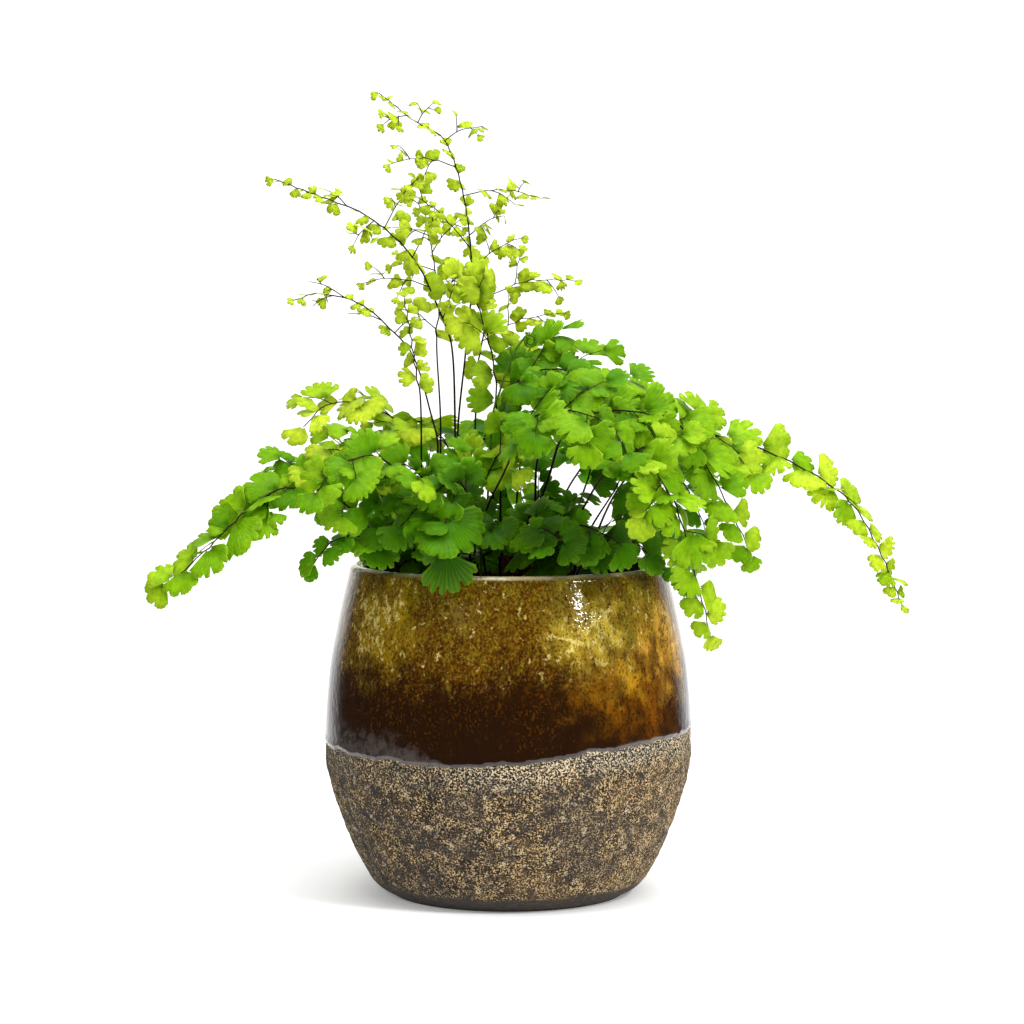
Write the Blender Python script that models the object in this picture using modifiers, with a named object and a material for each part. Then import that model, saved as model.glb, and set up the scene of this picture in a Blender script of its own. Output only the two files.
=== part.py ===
"""A maidenhair fern growing in a round glazed stoneware planter.

The planter stands on its flat foot at the origin, +Z up, and its front faces -Y. Units are metres; the fern's
routes are written in millimetres. The planter and the soil are turned, and the rhizome is a low knobbly mound
on the soil. Each frond is one solid: a flat cage of stalk and leaflets, extruded edge by edge, that Solidify
makes thick. The leaflets are set along the stalks by rule, and each keeps clear of all that stand already.
"""

import bisect
import math
import random

import bmesh
import bpy
import numpy as np
from mathutils import Quaternion, Vector, kdtree

MM = 0.001
UP = Vector((0, 0, 1))
GAP = 0.0003  # between pieces that touch in the real thing

# Planter: outer radius and height at the points that its curve needs, both in mm, from the foot to the rim.
POT_OUTLINE = (
    (57, 0), (66.5, 6), (74, 18.5), (83.8, 42), (89, 60), (90, 75), (87.8, 108), (83.3, 134), (77.6, 158.8),
)
POT_WALL = 0.0065
POT_FLOOR = 0.011
RIM_ROUND = 0.0032
TURNS = 40  # flats round the planter and the soil

SOIL_EDGE = 0.1425  # height of the soil at the wall
SOIL_TOP = 0.1455  # and in the middle, where it is level
SOIL_LEVEL_RADIUS = 0.066
CROWN_MIDDLE = (-0.006, 0.001)
CROWN_RADIUS = 0.06
CROWN_HEIGHT = 0.006

# Fern
STALK_HALF = 0.0007  # half the width of a main stalk
SHOOT_HALF = 0.0005
LONGEST_STEP = 0.022  # between two corners of a stalk
CROZIER_THICK = 0.0016
CURL_TURNS = 1.15
CURL_STEPS = 12
CURL_SHRINK = 0.7
SHEET = 0.0009  # thickness of leaflets and stalks
NODE = 0.0008  # half the length of stalk that a leaflet or shoot grows from
LEAF_SPREAD = math.radians(50)  # half the angle of a leaflet's fan
LEAF_SHOULDER = 0.8  # the fan's side length beside its middle length
LEAF_SAMPLE = 0.0022
LEAF_CLEARANCE = 0.0019
STALK_CLEARANCE = 0.0017
FORK_SPAN = 0.0042  # a leaflet may lie close to its frond's other stalks this near to its root
OWN_STALK_SPAN = 0.006  # a leaflet may lie close to its own stalk this near to its root
OWN_STALK_CLEARANCE = 0.0012
PLANTER_CLEARANCE = 0.0018
NEAR = 0.72  # leaflets whose middles are further apart than this, beside their lengths, can't meet
SHOOT_ROOM = 0.008  # along a stalk, between two shoots
SHOOT_BARE = 0.3  # the share of a shoot before its first leaflet
SHOOT_TAPER = 0.4  # how much shorter the last regular shoot is than the first
SHOOT_LIFT = 0.08  # how far a side shoot arches, beside its length
LEAF_SPACING = 0.54  # along a stalk, beside the leaflet's size
LEAF_LEAN = (58, 74)  # degrees from the stalk's heading
LEAF_ROLL = 14
LEAF_DROOP = 0.3  # how far a leaflet leans from its own way to straight down, unless the frond says its own
LEAF_FACING = 0.6  # how far a leaflet turns from its stalk's plane to its frond's own facing
LEAF_TRIES = (  # more roll, more pitch and a smaller size, in turn, until a leaflet has room
    (0, 0, 1), (24, 0, 1), (-24, 0, 1), (0, 22, 1), (0, -22, 1), (38, 16, 0.9), (-38, -16, 0.9), (20, 30, 0.8),
    (-20, -30, 0.8), (50, 0, 0.7), (-50, 0, 0.7),
)
SMALLEST_SOLID_LEAF = 0.0075


class Stalk:
    """A rachis or side shoot: a smooth line, the way its upper side faces, and what grows from it."""

    def __init__(self, route, face, frond, bare=0.0):
        self.points = through(route)
        self.frond = frond
        self.face = face.normalized()
        self.droop = LEAF_DROOP
        self.marks = [0.0]
        for a, b in zip(self.points, self.points[1:]):
            self.marks.append(self.marks[-1] + (b - a).length)
        self.length = self.marks[-1]
        self.buds = []  # (distance along the stalk, side, leaf or stalk)
        leafy_way = self.points[-1] - self.at(bare * self.length)[0]
        self.side = leafy_way.cross(face).normalized()

    def at(self, distance):
        """The point and the heading at a distance along the stalk."""
        k = bisect.bisect_left(self.marks, distance, 1, len(self.marks) - 1) - 1
        a, b = self.points[k], self.points[k + 1]
        share = (distance - self.marks[k]) / (self.marks[k + 1] - self.marks[k])
        return a.lerp(b, share), (b - a).normalized()

    def across(self, heading):
        """The way that the plus side points where the stalk has this heading."""
        return (self.side - heading * self.side.dot(heading)).normalized()

    def free_at(self, distance, room=5 * NODE):
        return all(abs(distance - bud[0]) > room for bud in self.buds)


class Leaf:
    """A fan of a given length from its root, pointing along its axis, with its upper side facing up."""

    def __init__(self, root, axis, face, size):
        self.root = root
        self.axis = axis.normalized()
        self.side = self.axis.cross(face).normalized()
        self.size = size

    def spot(self, angle, reach):
        """A point of the fan, by its angle from the axis and its share of the way out."""
        edge = 1 - (1 - LEAF_SHOULDER) * (angle / LEAF_SPREAD) ** 2
        way = self.axis * math.cos(angle) + self.side * math.sin(angle)
        return self.root + way * (self.size * edge * reach)

    def samples(self):
        """Points all over the fan, about LEAF_SAMPLE apart."""
        found = []
        rows = max(2, round(self.size / LEAF_SAMPLE))
        for row in range(1, rows + 1):
            steps = max(2, round(2 * LEAF_SPREAD * self.size * row / rows / LEAF_SAMPLE))
            for step in range(steps + 1):
                found.append(self.spot(LEAF_SPREAD * (2 * step / steps - 1), row / rows))
        return found


def through(points, step=0.002):
    """A smooth line through the points, by Catmull and Rom."""
    ends = [points[0] * 2 - points[1], *points, points[-1] * 2 - points[-2]]
    line = [points[0]]
    for a, b, c, d in zip(ends, ends[1:], ends[2:], ends[3:]):
        count = max(1, round((c - b).length / step))
        for k in range(1, count + 1):
            t = k / count
            bend = (c - a) * t + (2 * a - 5 * b + 4 * c - d) * t**2 + (3 * b - a - 3 * c + d) * t**3
            line.append(b + bend / 2)
    return line


# Each frond: its route in mm from the rhizome to its tip, how much of it is bare (0 to 1), the lengths of its
# leaflets in mm from first to last, the way its upper side faces, its own side shoots as (where, way to the tip
# in mm), and its regular side shoots as (from, to, count, length of the first in mm).
FRONDS = (
    dict(
        name="frond_tall_centre",
        route=((-24, 10), (-25, 8, 183), (-25, 12, 226), (-21, 15, 267), (-18, 14, 305), (-22, 8, 342), (-31, 0, 368),
               (-45, -8, 377), (-62, -18, 390)),
        bare=0.6, leaves=(8.8, 4.8), face=(0.1, -0.5, 0.85),
        shoots=((0.63, (-34, -38, 28)), (0.655, (17, -18, 9)), (0.73, (38, -22, -2)), (0.785, (-31, -34, 0)),
                (0.84, (18, 16, 8)), (0.905, (7, 12, 10)), (0.93, (-11, -14, -5))),
    ),
    dict(
        name="frond_tall_left",
        route=((-28, -2), (-26, 0, 190), (-26, 0, 227), (-27, -4, 264), (-31, -8, 280), (-45, -18, 310),
               (-63, -24, 328), (-76, -28, 335), (-92, -34, 341), (-111, -40, 348)),
        bare=0.6, leaves=(8.8, 4.8), face=(-0.1, -0.55, 0.8),
        shoots=((0.54, (8, -22, 18)), (0.61, (-30, -28, 2)), (0.68, (15, -26, 21)), (0.76, (18, -16, 25)),
                (0.785, (-9, -20, -12)), (0.845, (-10, 12, 8))),
    ),
    dict(
        name="frond_thin_left",
        route=((-35, -12), (-36, -15, 194), (-34, -20, 220), (-37, -24, 235), (-45, -32, 263), (-56, -40, 277),
               (-70, -48, 289), (-88, -56, 294), (-100, -62, 291)),
        bare=0.7, leaves=(6.4, 4.2), face=(-0.1, -0.6, 0.8),
        shoots=((0.7, (12, 10, 8)), (0.75, (-16, 8, 3)), (0.86, (-17, -6, 8)), (0.89, (-9, -11, -5))),
    ),
    dict(
        name="frond_upright_left",
        route=((-33, 24), (-34, 24, 190), (-34, 24, 232), (-36, 26, 270), (-34, 26, 292), (-38, 22, 314),
               (-41, 18, 332), (-48, 12, 342)),
        bare=0.62, leaves=(9.4, 5.6), face=(0, -0.6, 0.8),
        shoots=((0.64, (-16, -20, 10)), (0.72, (20, 18, 18)), (0.79, (-22, 22, 2)), (0.835, (16, 14, 19)),
                (0.88, (-19, 12, 4))),
    ),
    dict(
        name="frond_tall_right",
        route=((-16, 16), (-17, 20, 190), (-17, 24, 222), (-15, 28, 260), (-11, 30, 286), (-16, 28, 306),
               (-20, 26, 320)),
        bare=0.6, leaves=(9, 5), face=(0.15, -0.6, 0.8),
        shoots=((0.7, (40, -28, 14)), (0.79, (-18, 20, 10)), (0.83, (44, -26, 8)), (0.92, (22, -20, 14))),
    ),
    dict(
        name="frond_young_thin",
        route=((-41, -19), (-42, -26, 185), (-42, -38, 238), (-44, -43, 258), (-49, -50, 292)),
        bare=0.7, leaves=(9, 5.2), face=(-0.1, -0.7, 0.7),
    ),
    dict(
        name="frond_bright_centre",
        route=((-8, 22), (-9, 22, 165), (-6, 20, 235), (-8, 14, 262), (-14, 4, 285), (-22, -6, 298), (-30, -14, 300)),
        bare=0.5, leaves=(14.6, 12), face=(0, -0.75, 0.6),
        shoots=((0.6, (24, -12, -6)), (0.66, (14, 12, 8)), (0.72, (-12, -24, 10)), (0.85, (4, -18, 14))),
    ),
    dict(
        name="frond_centre",
        route=((-3, 5), (-4, 4, 165), (-3, 0, 226), (0, -6, 244), (11, -16, 256), (27, -30, 257), (43, -44, 247)),
        bare=0.52, leaves=(17.2, 12.9), face=(0.15, -0.75, 0.6), sprays=(0.56, 0.85, 5, 34),
    ),
    dict(
        name="frond_long_right",
        route=((2, -10), (1, -12, 165), (17, -20, 198), (26, -24, 226), (39, -26, 240), (56, -28, 243), (92, -32, 229),
               (130, -36, 216), (161, -40, 197), (177, -42, 172), (188, -42, 146)),
        bare=0.38, leaves=(18.1, 16.8, 5.6), face=(0.25, -0.75, 0.6), droop=0.75,
        shoots=((0.38, (14, -26, -10)), (0.42, (6, 22, -8)), (0.47, (18, -24, -16)), (0.56, (18, -20, -18))),
    ),
    dict(
        name="frond_mid_right",
        route=((13, -4), (13, -14, 190), (15, -34, 218), (28, -50, 233), (50, -58, 239), (67, -60, 237), (84, -64, 229),
               (95, -68, 210), (104, -70, 193), (114, -72, 172)),
        bare=0.5, leaves=(18.9, 17.2, 8.6), face=(0.3, -0.8, 0.5), droop=0.5, sprays=(0.5, 0.68, 3, 30),
    ),
    dict(
        name="frond_hanging_right",
        route=((20, -22), (24, -31, 167), (35, -50, 191), (45, -66, 209), (57, -80, 219), (66, -88, 215), (75, -94, 201),
               (80, -96, 188), (88, -100, 158), (93, -102, 138)),
        bare=0.46, leaves=(18.1, 16.3, 8.6), face=(0.3, -0.85, 0.4), droop=0.5, sprays=(0.5, 0.75, 3, 26),
    ),
    dict(
        name="frond_upper_right",
        route=((24, 14), (27, 13, 165), (40, 16, 205), (50, 12, 226), (60, 4, 236), (69, -4, 240)),
        bare=0.5, leaves=(15.5, 9.5), face=(0.3, -0.7, 0.6), sprays=(0.55, 0.85, 4, 28),
    ),
    dict(
        name="frond_inner_right",
        route=((31, -6), (34, -7, 167), (41, -12, 182), (50, -26, 198), (58, -36, 212), (63, -44, 226)),
        bare=0.64, leaves=(16.3, 12), face=(0.2, -0.75, 0.6), sprays=(0.72, 0.88, 2, 22),
    ),
    dict(
        name="frond_front_right",
        route=((-10, -26), (-12, -30, 184), (0, -44, 213), (6, -56, 230), (15, -70, 238), (31, -86, 240), (47, -98, 233),
               (54, -108, 222)),
        bare=0.5, leaves=(18.1, 12), face=(0.1, -0.8, 0.55), sprays=(0.55, 0.82, 4, 32),
    ),
    dict(
        name="frond_long_left",
        route=((-52, -24), (-57, -30, 167), (-69, -46, 186), (-79, -57, 196), (-93, -66, 203), (-109, -74, 202),
               (-121, -80, 194), (-135, -88, 180), (-148, -91, 168), (-158, -92, 160)),
        bare=0.3, leaves=(18.1, 17.6, 9.5), face=(-0.25, -0.8, 0.5), sprays=(0.36, 0.62, 3, 26),
    ),
    dict(
        name="frond_pale_high",
        route=((-38, 5), (-41, 6, 173), (-43, 2, 208), (-52, -8, 229), (-61, -16, 237), (-74, -26, 242), (-88, -38, 240),
               (-97, -47, 231)),
        bare=0.48, leaves=(14.6, 11.2), face=(-0.3, -0.6, 0.75), sprays=(0.5, 0.86, 4, 24),
    ),
    dict(
        name="frond_pale_low",
        route=((-46, -9), (-51, -11, 167), (-61, -23, 196), (-72, -35, 212), (-79, -45, 219), (-87, -55, 220),
               (-95, -63, 212)),
        bare=0.46, leaves=(15.5, 11.2), face=(-0.3, -0.7, 0.65), sprays=(0.48, 0.85, 3, 22),
    ),
    dict(
        name="frond_front_left",
        route=((-42, -27), (-45, -31, 167), (-47, -50, 196), (-53, -66, 212), (-66, -80, 219), (-80, -92, 213),
               (-88, -100, 203)),
        bare=0.45, leaves=(17.2, 12.9), face=(-0.2, -0.75, 0.6), sprays=(0.5, 0.8, 3, 26),
    ),
    dict(
        name="frond_low_left",
        route=((-49, -38), (-54, -45, 168), (-61, -58, 176), (-72, -70, 181), (-83, -78, 178), (-90, -83, 169)),
        bare=0.4, leaves=(13.8, 9.5), face=(-0.4, -0.7, 0.6),
    ),
    dict(
        name="frond_over_rim",
        route=((-27, -36), (-30, -42, 170), (-30, -60, 187), (-29, -75, 189), (-28, -84, 184), (-28, -88, 175)),
        bare=0.62, leaves=(20.6, 20.6), face=(0.05, -0.9, 0.4),
    ),
    dict(
        name="frond_short_right",
        route=((7, -18), (10, -24, 165), (18, -36, 178), (25, -47, 185), (39, -60, 184), (52, -68, 177)),
        bare=0.4, leaves=(15.5, 12.9), face=(0.2, -0.8, 0.55), sprays=(0.5, 0.8, 2, 20),
    ),
    dict(
        name="frond_short_front",
        route=((4, -34), (6, -41, 165), (9, -54, 179), (17, -66, 184), (26, -74, 178)),
        bare=0.42, leaves=(14.6, 12.9), face=(0.1, -0.85, 0.5), sprays=(0.5, 0.8, 2, 18),
    ),
    dict(
        name="frond_short_left",
        route=((-22, -23), (-24, -25, 165), (-27, -38, 182), (-32, -52, 192), (-41, -65, 194), (-50, -76, 186)),
        bare=0.4, leaves=(15.5, 12.9), face=(-0.2, -0.8, 0.55), sprays=(0.5, 0.8, 2, 20),
    ),
    dict(
        name="frond_rim_right",
        route=((41, 2), (45, 1, 165), (57, -4, 180), (69, -14, 185), (79, -22, 175), (84, -27, 157)),
        bare=0.35, leaves=(15.5, 12.9), face=(0.5, -0.7, 0.5), sprays=(0.45, 0.7, 2, 18),
    ),
    dict(
        name="frond_back_left",
        route=((-41, 30), (-50, 40, 175), (-66, 56, 200), (-86, 72, 212), (-108, 88, 206), (-126, 98, 188),
               (-136, 104, 170)),
        bare=0.35, leaves=(17.2, 11.2), face=(-0.45, 0.45, 0.75), sprays=(0.38, 0.7, 3, 26),
    ),
    dict(
        name="frond_back",
        route=((-14, 38), (-16, 50, 185), (-14, 72, 215), (-8, 98, 226), (0, 124, 216), (6, 144, 192), (10, 154, 168)),
        bare=0.35, leaves=(18.1, 10.3), face=(0, 0.65, 0.75), sprays=(0.38, 0.7, 4, 28),
    ),
    dict(
        name="frond_back_right",
        route=((18, 34), (24, 46, 182), (38, 64, 206), (58, 82, 216), (80, 98, 208), (96, 109, 188), (105, 115, 166)),
        bare=0.35, leaves=(17.2, 10.3), face=(0.4, 0.5, 0.75), sprays=(0.38, 0.7, 3, 26),
    ),
    dict(
        name="frond_far_right",
        route=((37, 18), (43, 25, 172), (56, 34, 198), (74, 44, 212), (92, 52, 206), (104, 58, 191)),
        bare=0.56, leaves=(16.3, 12), face=(0.55, 0.2, 0.75), sprays=(0.6, 0.85, 3, 22),
    ),
    dict(
        name="frond_low_back_left",
        route=((-29, 39), (-40, 52, 176), (-52, 74, 194), (-62, 96, 194), (-70, 114, 180), (-74, 124, 163)),
        bare=0.35, leaves=(15.5, 11.2), face=(-0.3, 0.6, 0.7), sprays=(0.45, 0.7, 2, 20),
    ),
    dict(
        name="frond_low_back_right",
        route=((32, 28), (40, 36, 163), (54, 48, 171), (70, 62, 173), (84, 76, 168), (93, 84, 156)),
        bare=0.35, leaves=(15.5, 11.2), face=(0.5, 0.45, 0.7), sprays=(0.45, 0.7, 2, 18),
    ),
    dict(
        name="frond_back_upright_right",
        route=((3, 30), (4, 37, 190), (8, 48, 220), (18, 62, 238), (32, 76, 240), (46, 88, 230)),
        bare=0.5, leaves=(15.5, 11.2), face=(0.25, 0.5, 0.8), sprays=(0.55, 0.8, 3, 24),
    ),
    dict(
        name="frond_back_upright_left",
        route=((-21, 35), (-23, 45, 188), (-30, 58, 215), (-44, 74, 228), (-60, 88, 224), (-72, 98, 211)),
        bare=0.45, leaves=(15.5, 11.2), face=(-0.25, 0.5, 0.8), sprays=(0.52, 0.8, 3, 24),
    ),
    dict(
        name="frond_inner_left",
        route=((-30, -14), (-31, -16, 165), (-33, -20, 182), (-38, -28, 200), (-46, -38, 211), (-56, -48, 213)),
        bare=0.4, leaves=(15.5, 12.9), face=(-0.15, -0.75, 0.6), sprays=(0.5, 0.82, 3, 24),
    ),
    dict(
        name="frond_inner_centre",
        route=((-18, -32), (-18, -34, 165), (-20, -40, 185), (-20, -49, 200), (-25, -60, 206), (-33, -68, 202)),
        bare=0.42, leaves=(16.3, 12.9), face=(-0.05, -0.8, 0.55), sprays=(0.5, 0.82, 3, 24),
    ),
    dict(
        name="frond_mid_centre",
        route=((-16, -14), (-16, -14, 178), (-12, -20, 202), (-4, -29, 217), (5, -37, 220)),
        bare=0.55, leaves=(14.6, 11.2), face=(0.05, -0.75, 0.6), sprays=(0.58, 0.85, 3, 24),
    ),
    dict(
        name="frond_low_centre",
        route=((14, -24), (15, -28, 160), (20, -40, 171), (30, -52, 177), (41, -63, 173)),
        bare=0.34, leaves=(16.3, 13.8), face=(0.1, -0.85, 0.5), sprays=(0.45, 0.8, 2, 20),
    ),
    dict(
        name="frond_low_right",
        route=((30, -16), (34, -20, 160), (44, -30, 173), (56, -40, 178), (66, -48, 171)),
        bare=0.34, leaves=(15.5, 12.9), face=(0.2, -0.8, 0.55), sprays=(0.45, 0.8, 2, 20),
    ),
    dict(
        name="frond_low_front_left",
        route=((-33, -30), (-36, -34, 165), (-42, -46, 180), (-50, -58, 188), (-60, -68, 184)),
        bare=0.36, leaves=(15.5, 12.9), face=(-0.2, -0.8, 0.55), sprays=(0.45, 0.8, 2, 20),
    ),
    dict(
        name="frond_low_middle",
        route=((-4, -16), (-4, -18, 160), (-4, -28, 176), (-6, -42, 186), (-8, -56, 182)),
        bare=0.34, leaves=(15.5, 12.9), face=(0, -0.85, 0.5), sprays=(0.42, 0.8, 3, 20),
    ),
    dict(
        name="frond_behind_stalks",
        route=((6, 10), (7, 11, 165), (10, 8, 184), (15, 2, 194), (22, -6, 194)),
        bare=0.4, leaves=(15.5, 12), face=(0.1, -0.75, 0.6), sprays=(0.45, 0.8, 3, 20),
    ),
    dict(
        name="frond_inside_rim_left",
        route=((-38, -8), (-41, -12, 161), (-49, -22, 171), (-57, -33, 176), (-63, -43, 172)),
        bare=0.3, leaves=(13.8, 11.2), face=(-0.2, -0.85, 0.5), sprays=(0.42, 0.8, 2, 18),
    ),
)
# Young fronds that haven't opened, as (name, route in mm, radius of the curl in mm, way the curl turns).
CROZIERS = (
    ("crozier_tall", ((-11, -6), (-11, -8, 170), (-8, -16, 230), (-4, -18, 247), (2, -18, 264), (8, -18, 273)), 3, 1),
    ("crozier_short", ((-13, -38), (-13, -42, 170), (-14, -47, 181)), 2.8, -1),
)


def crown_top(x, y):
    """Height of the rhizome's upper side, or of the soil beyond it."""
    share = math.hypot(x - CROWN_MIDDLE[0], y - CROWN_MIDDLE[1]) / CROWN_RADIUS
    return SOIL_TOP + GAP + CROWN_HEIGHT * max(0, 1 - share**4)


def rooted(route):
    """A route in metres, which starts just above the rhizome at its first point."""
    x, y = route[0][0] * MM, route[0][1] * MM
    return [Vector((x, y, crown_top(x, y) + GAP)), *(Vector(point) * MM for point in route[1:])]


def crozier_line(route, radius, way):
    """A young stalk's route, which ends in a flat spiral."""
    line = through(rooted(route), 0.014)
    heading = (line[-1] - line[-2]).normalized()
    inward = heading.cross(Vector((0, -way, 0))).normalized()
    middle = line[-1] + inward * radius * MM
    for k in range(1, CURL_STEPS + 1):
        angle = math.tau * CURL_TURNS * k / CURL_STEPS
        reach = radius * MM * (1 - CURL_SHRINK * k / CURL_STEPS)
        line.append(middle + heading * (math.sin(angle) * reach) - inward * (math.cos(angle) * reach))
    return line


def regular_shoots(stalk, first, last, count, reach):
    """Side shoots at even steps, on alternate sides, shorter towards the tip."""
    for k in range(count):
        share = k / max(1, count - 1)
        where = first + (last - first) * share
        heading = stalk.at(where * stalk.length)[1]
        side = 1 if k % 2 else -1
        way = heading * 0.6 + stalk.across(heading) * side * 0.85 + UP * 0.05
        yield where, side, way.normalized() * reach * MM * (1 - SHOOT_TAPER * share)


def add_shoot(stalk, where, side, way):
    """A side shoot that leaves the stalk at a share of its length, rises a little and bends over."""
    distance = where * stalk.length
    while not stalk.free_at(distance, SHOOT_ROOM):
        distance += NODE
    root, heading = stalk.at(distance)
    lift = Vector((0, 0, SHOOT_LIFT * way.length))
    face = stalk.across(heading).cross(heading)
    shoot = Stalk([root, root + way / 2 + lift, root + way], face, stalk.frond)
    shoot.face = stalk.face  # so that its leaflets face the way of the frond's others
    shoot.droop = stalk.droop
    stalk.buds.append((distance, side, shoot))


def grow(plan):
    """The frond's main stalk, with its side shoots."""
    stalk = Stalk(rooted(plan["route"]), Vector(plan["face"]), plan["name"], plan["bare"])
    stalk.droop = plan.get("droop", LEAF_DROOP)
    for where, way in plan.get("shoots", ()):
        heading = stalk.at(where * stalk.length)[1]
        side = 1 if stalk.across(heading).dot(Vector(way)) > 0 else -1
        add_shoot(stalk, where, side, Vector(way) * MM)
    if "sprays" in plan:
        for where, side, way in regular_shoots(stalk, *plan["sprays"]):
            add_shoot(stalk, where, side, way)
    return stalk


class Garden:
    """What stands already, so that each new leaflet can keep clear of it."""

    def __init__(self, stalks):
        lines = [(point, stalk) for stalk in stalks for point in stalk.points]
        self.owners = [stalk for _, stalk in lines]
        self.lines = kdtree.KDTree(len(lines))
        for index, (point, _) in enumerate(lines):
            self.lines.insert(point, index)
        self.lines.balance()
        self.leaves = []

    def has_room(self, leaf, stalk):
        samples = leaf.samples()
        if not all(clear_of_planter(point) for point in samples):
            return False
        for point in samples:
            for place, index, apart in self.lines.find_range(point, STALK_CLEARANCE):
                from_root = (place - leaf.root).length
                if self.owners[index] is stalk:
                    crosses = from_root > OWN_STALK_SPAN and apart < OWN_STALK_CLEARANCE
                elif self.owners[index].frond == stalk.frond:
                    crosses = from_root > FORK_SPAN
                else:
                    crosses = True
                if crosses:
                    return False
        middle, cloud = leaf.root + leaf.axis * leaf.size / 2, np.array(samples)
        for other_middle, other_size, other_cloud in self.leaves:
            if (other_middle - middle).length < NEAR * (leaf.size + other_size):
                apart = cloud[:, None] - other_cloud[None]
                if (apart**2).sum(axis=2).min() < LEAF_CLEARANCE**2:
                    return False
        self.leaves.append((middle, leaf.size, cloud))
        return True


def clear_of_planter(point):
    """True if a point is off the planter's wall and above the soil and the rhizome."""
    radius = math.hypot(point.x, point.y)
    outside = outer_radius(point.z)
    if radius > outside + PLANTER_CLEARANCE:
        return True
    if radius > outside - POT_WALL - PLANTER_CLEARANCE:
        return point.z > POT_OUTLINE[-1][1] * MM + RIM_ROUND + PLANTER_CLEARANCE
    return point.z > crown_top(point.x, point.y) + PLANTER_CLEARANCE


def outer_radius(height):
    heights = [z * MM for _, z in POT_OUTLINE]
    radii = [r * MM for r, _ in POT_OUTLINE]
    return float(np.interp(height, heights, radii))


def turned(way, axis, angle):
    return Quaternion(axis, math.radians(angle)) @ way


def find_leaf(garden, stalk, distance, side, size, dice):
    """A leaflet that has room at this place, tried at a few turns and sizes, or None."""
    root, heading = stalk.at(distance)
    across = stalk.across(heading)
    upright = across.cross(heading)
    face = upright.lerp(stalk.face, LEAF_FACING).normalized()
    sag = heading.cross(UP * -stalk.droop).cross(heading)
    lean = dice.uniform(*LEAF_LEAN) if side else 0
    roll, pitch = dice.uniform(-LEAF_ROLL, LEAF_ROLL), dice.uniform(-LEAF_ROLL, LEAF_ROLL)
    for more_roll, more_pitch, shrink in LEAF_TRIES:
        axis = turned(heading, upright, -side * lean) + sag
        axis -= face * axis.dot(face)
        axis = turned(axis, axis.cross(face).normalized(), pitch + more_pitch)
        leaf = Leaf(root, axis, turned(face, axis.normalized(), roll + more_roll), size * shrink)
        if garden.has_room(leaf, stalk):
            return leaf
    return None


def size_at(share, sizes):
    """The size at a share of the leafy length, in metres, from sizes in mm that are evenly spread along it."""
    return float(np.interp(share, np.linspace(0, 1, len(sizes)), sizes)) * MM


def set_leaves(garden, stalk, bare, sizes, dice):
    """Leaflets on alternate sides, from the end of the bare part to the tip, and one at the tip."""
    start = bare * stalk.length
    tip = find_leaf(garden, stalk, stalk.length, 0, size_at(1, sizes), dice)
    if tip:
        stalk.buds.append((stalk.length, 0, tip))
    distance, side = start, 1
    while distance < stalk.length - NODE * 4:
        share = (distance - start) / (stalk.length - start)
        size = size_at(share, sizes) * dice.uniform(0.85, 1.1)
        leaf = stalk.free_at(distance) and find_leaf(garden, stalk, distance, side, size, dice)
        if leaf:
            stalk.buds.append((distance, side, leaf))
        distance += size * LEAF_SPACING
        side = -side


def grow_fern():
    """Every frond's main stalk by name, with its side shoots and all leaflets in place."""
    stalks = {plan["name"]: grow(plan) for plan in FRONDS}
    shoots = {name: [bud[2] for bud in stalk.buds] for name, stalk in stalks.items()}
    everything = [*stalks.values(), *(shoot for group in shoots.values() for shoot in group)]
    croziers = [Stalk(crozier_line(*crozier[1:]), UP, crozier[0]) for crozier in CROZIERS]
    garden = Garden(everything + croziers)
    for plan in FRONDS:
        dice = random.Random(plan["name"])
        first = plan["leaves"][0]
        for shoot in shoots[plan["name"]]:
            set_leaves(garden, shoot, SHOOT_BARE, (first * 0.95, first * 0.7), dice)
        set_leaves(garden, stalks[plan["name"]], plan["bare"], plan["leaves"], dice)
    return stalks


def corners(stalk, distance, half):
    """The two corners of a stalk's flat ribbon, on its plus and minus sides."""
    point, heading = stalk.at(distance)
    out = stalk.across(heading) * half
    return point + out, point - out


def extend(bm, edge, plus, minus):
    """Extrudes a ribbon's end to two new corners, and returns the new end as (plus vertex, minus vertex)."""
    old_plus, old_minus = edge
    border = bm.edges.get(edge)
    fresh = [part for part in bmesh.ops.extrude_edge_only(bm, edges=[border])["geom"] if hasattr(part, "co")]
    new_plus = next(v for v in fresh if any(e.other_vert(v) is old_plus for e in v.link_edges))
    new_minus = next(v for v in fresh if v is not new_plus)
    new_plus.co, new_minus.co = plus, minus
    return new_plus, new_minus


def add_blade(bm, edge, leaf):
    """A leaflet as a wedge, extruded from its root's edge to the two ends of its outer edge."""
    extend(bm, edge, leaf.spot(LEAF_SPREAD, 1), leaf.spot(-LEAF_SPREAD, 1))


def solid_buds(stalk):
    """The stalk's shoots and the leaflets large enough to be solids, in order."""
    kept = [bud for bud in stalk.buds if isinstance(bud[2], Stalk) or bud[2].size > SMALLEST_SOLID_LEAF]
    return sorted(kept, key=lambda bud: bud[0])


def add_ribbon(bm, stalk, edge, done, half):
    """A stalk as a flat ribbon from an open edge, and what grows on it from the ribbon's own edges."""
    for distance, side, growth in [*solid_buds(stalk), (stalk.length, 0, None)]:
        start = distance - NODE if side else stalk.length
        while start - done > 1.5 * LONGEST_STEP:
            done += LONGEST_STEP
            edge = extend(bm, edge, *corners(stalk, done, half))
        if start > done:
            edge = extend(bm, edge, *corners(stalk, start, half))
            done = start
        if side:
            low = edge
            edge = extend(bm, edge, *corners(stalk, distance + NODE, half))
            done = distance + NODE
            # Seen along what grows here, its plus side is the parent's lower end on the plus side.
            root = (low[0], edge[0]) if side > 0 else (edge[1], low[1])
        else:
            root = edge
        if isinstance(growth, Leaf):
            add_blade(bm, root, growth)
        elif growth:
            add_ribbon(bm, growth, root, 0, SHOOT_HALF)
    return bm


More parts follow.
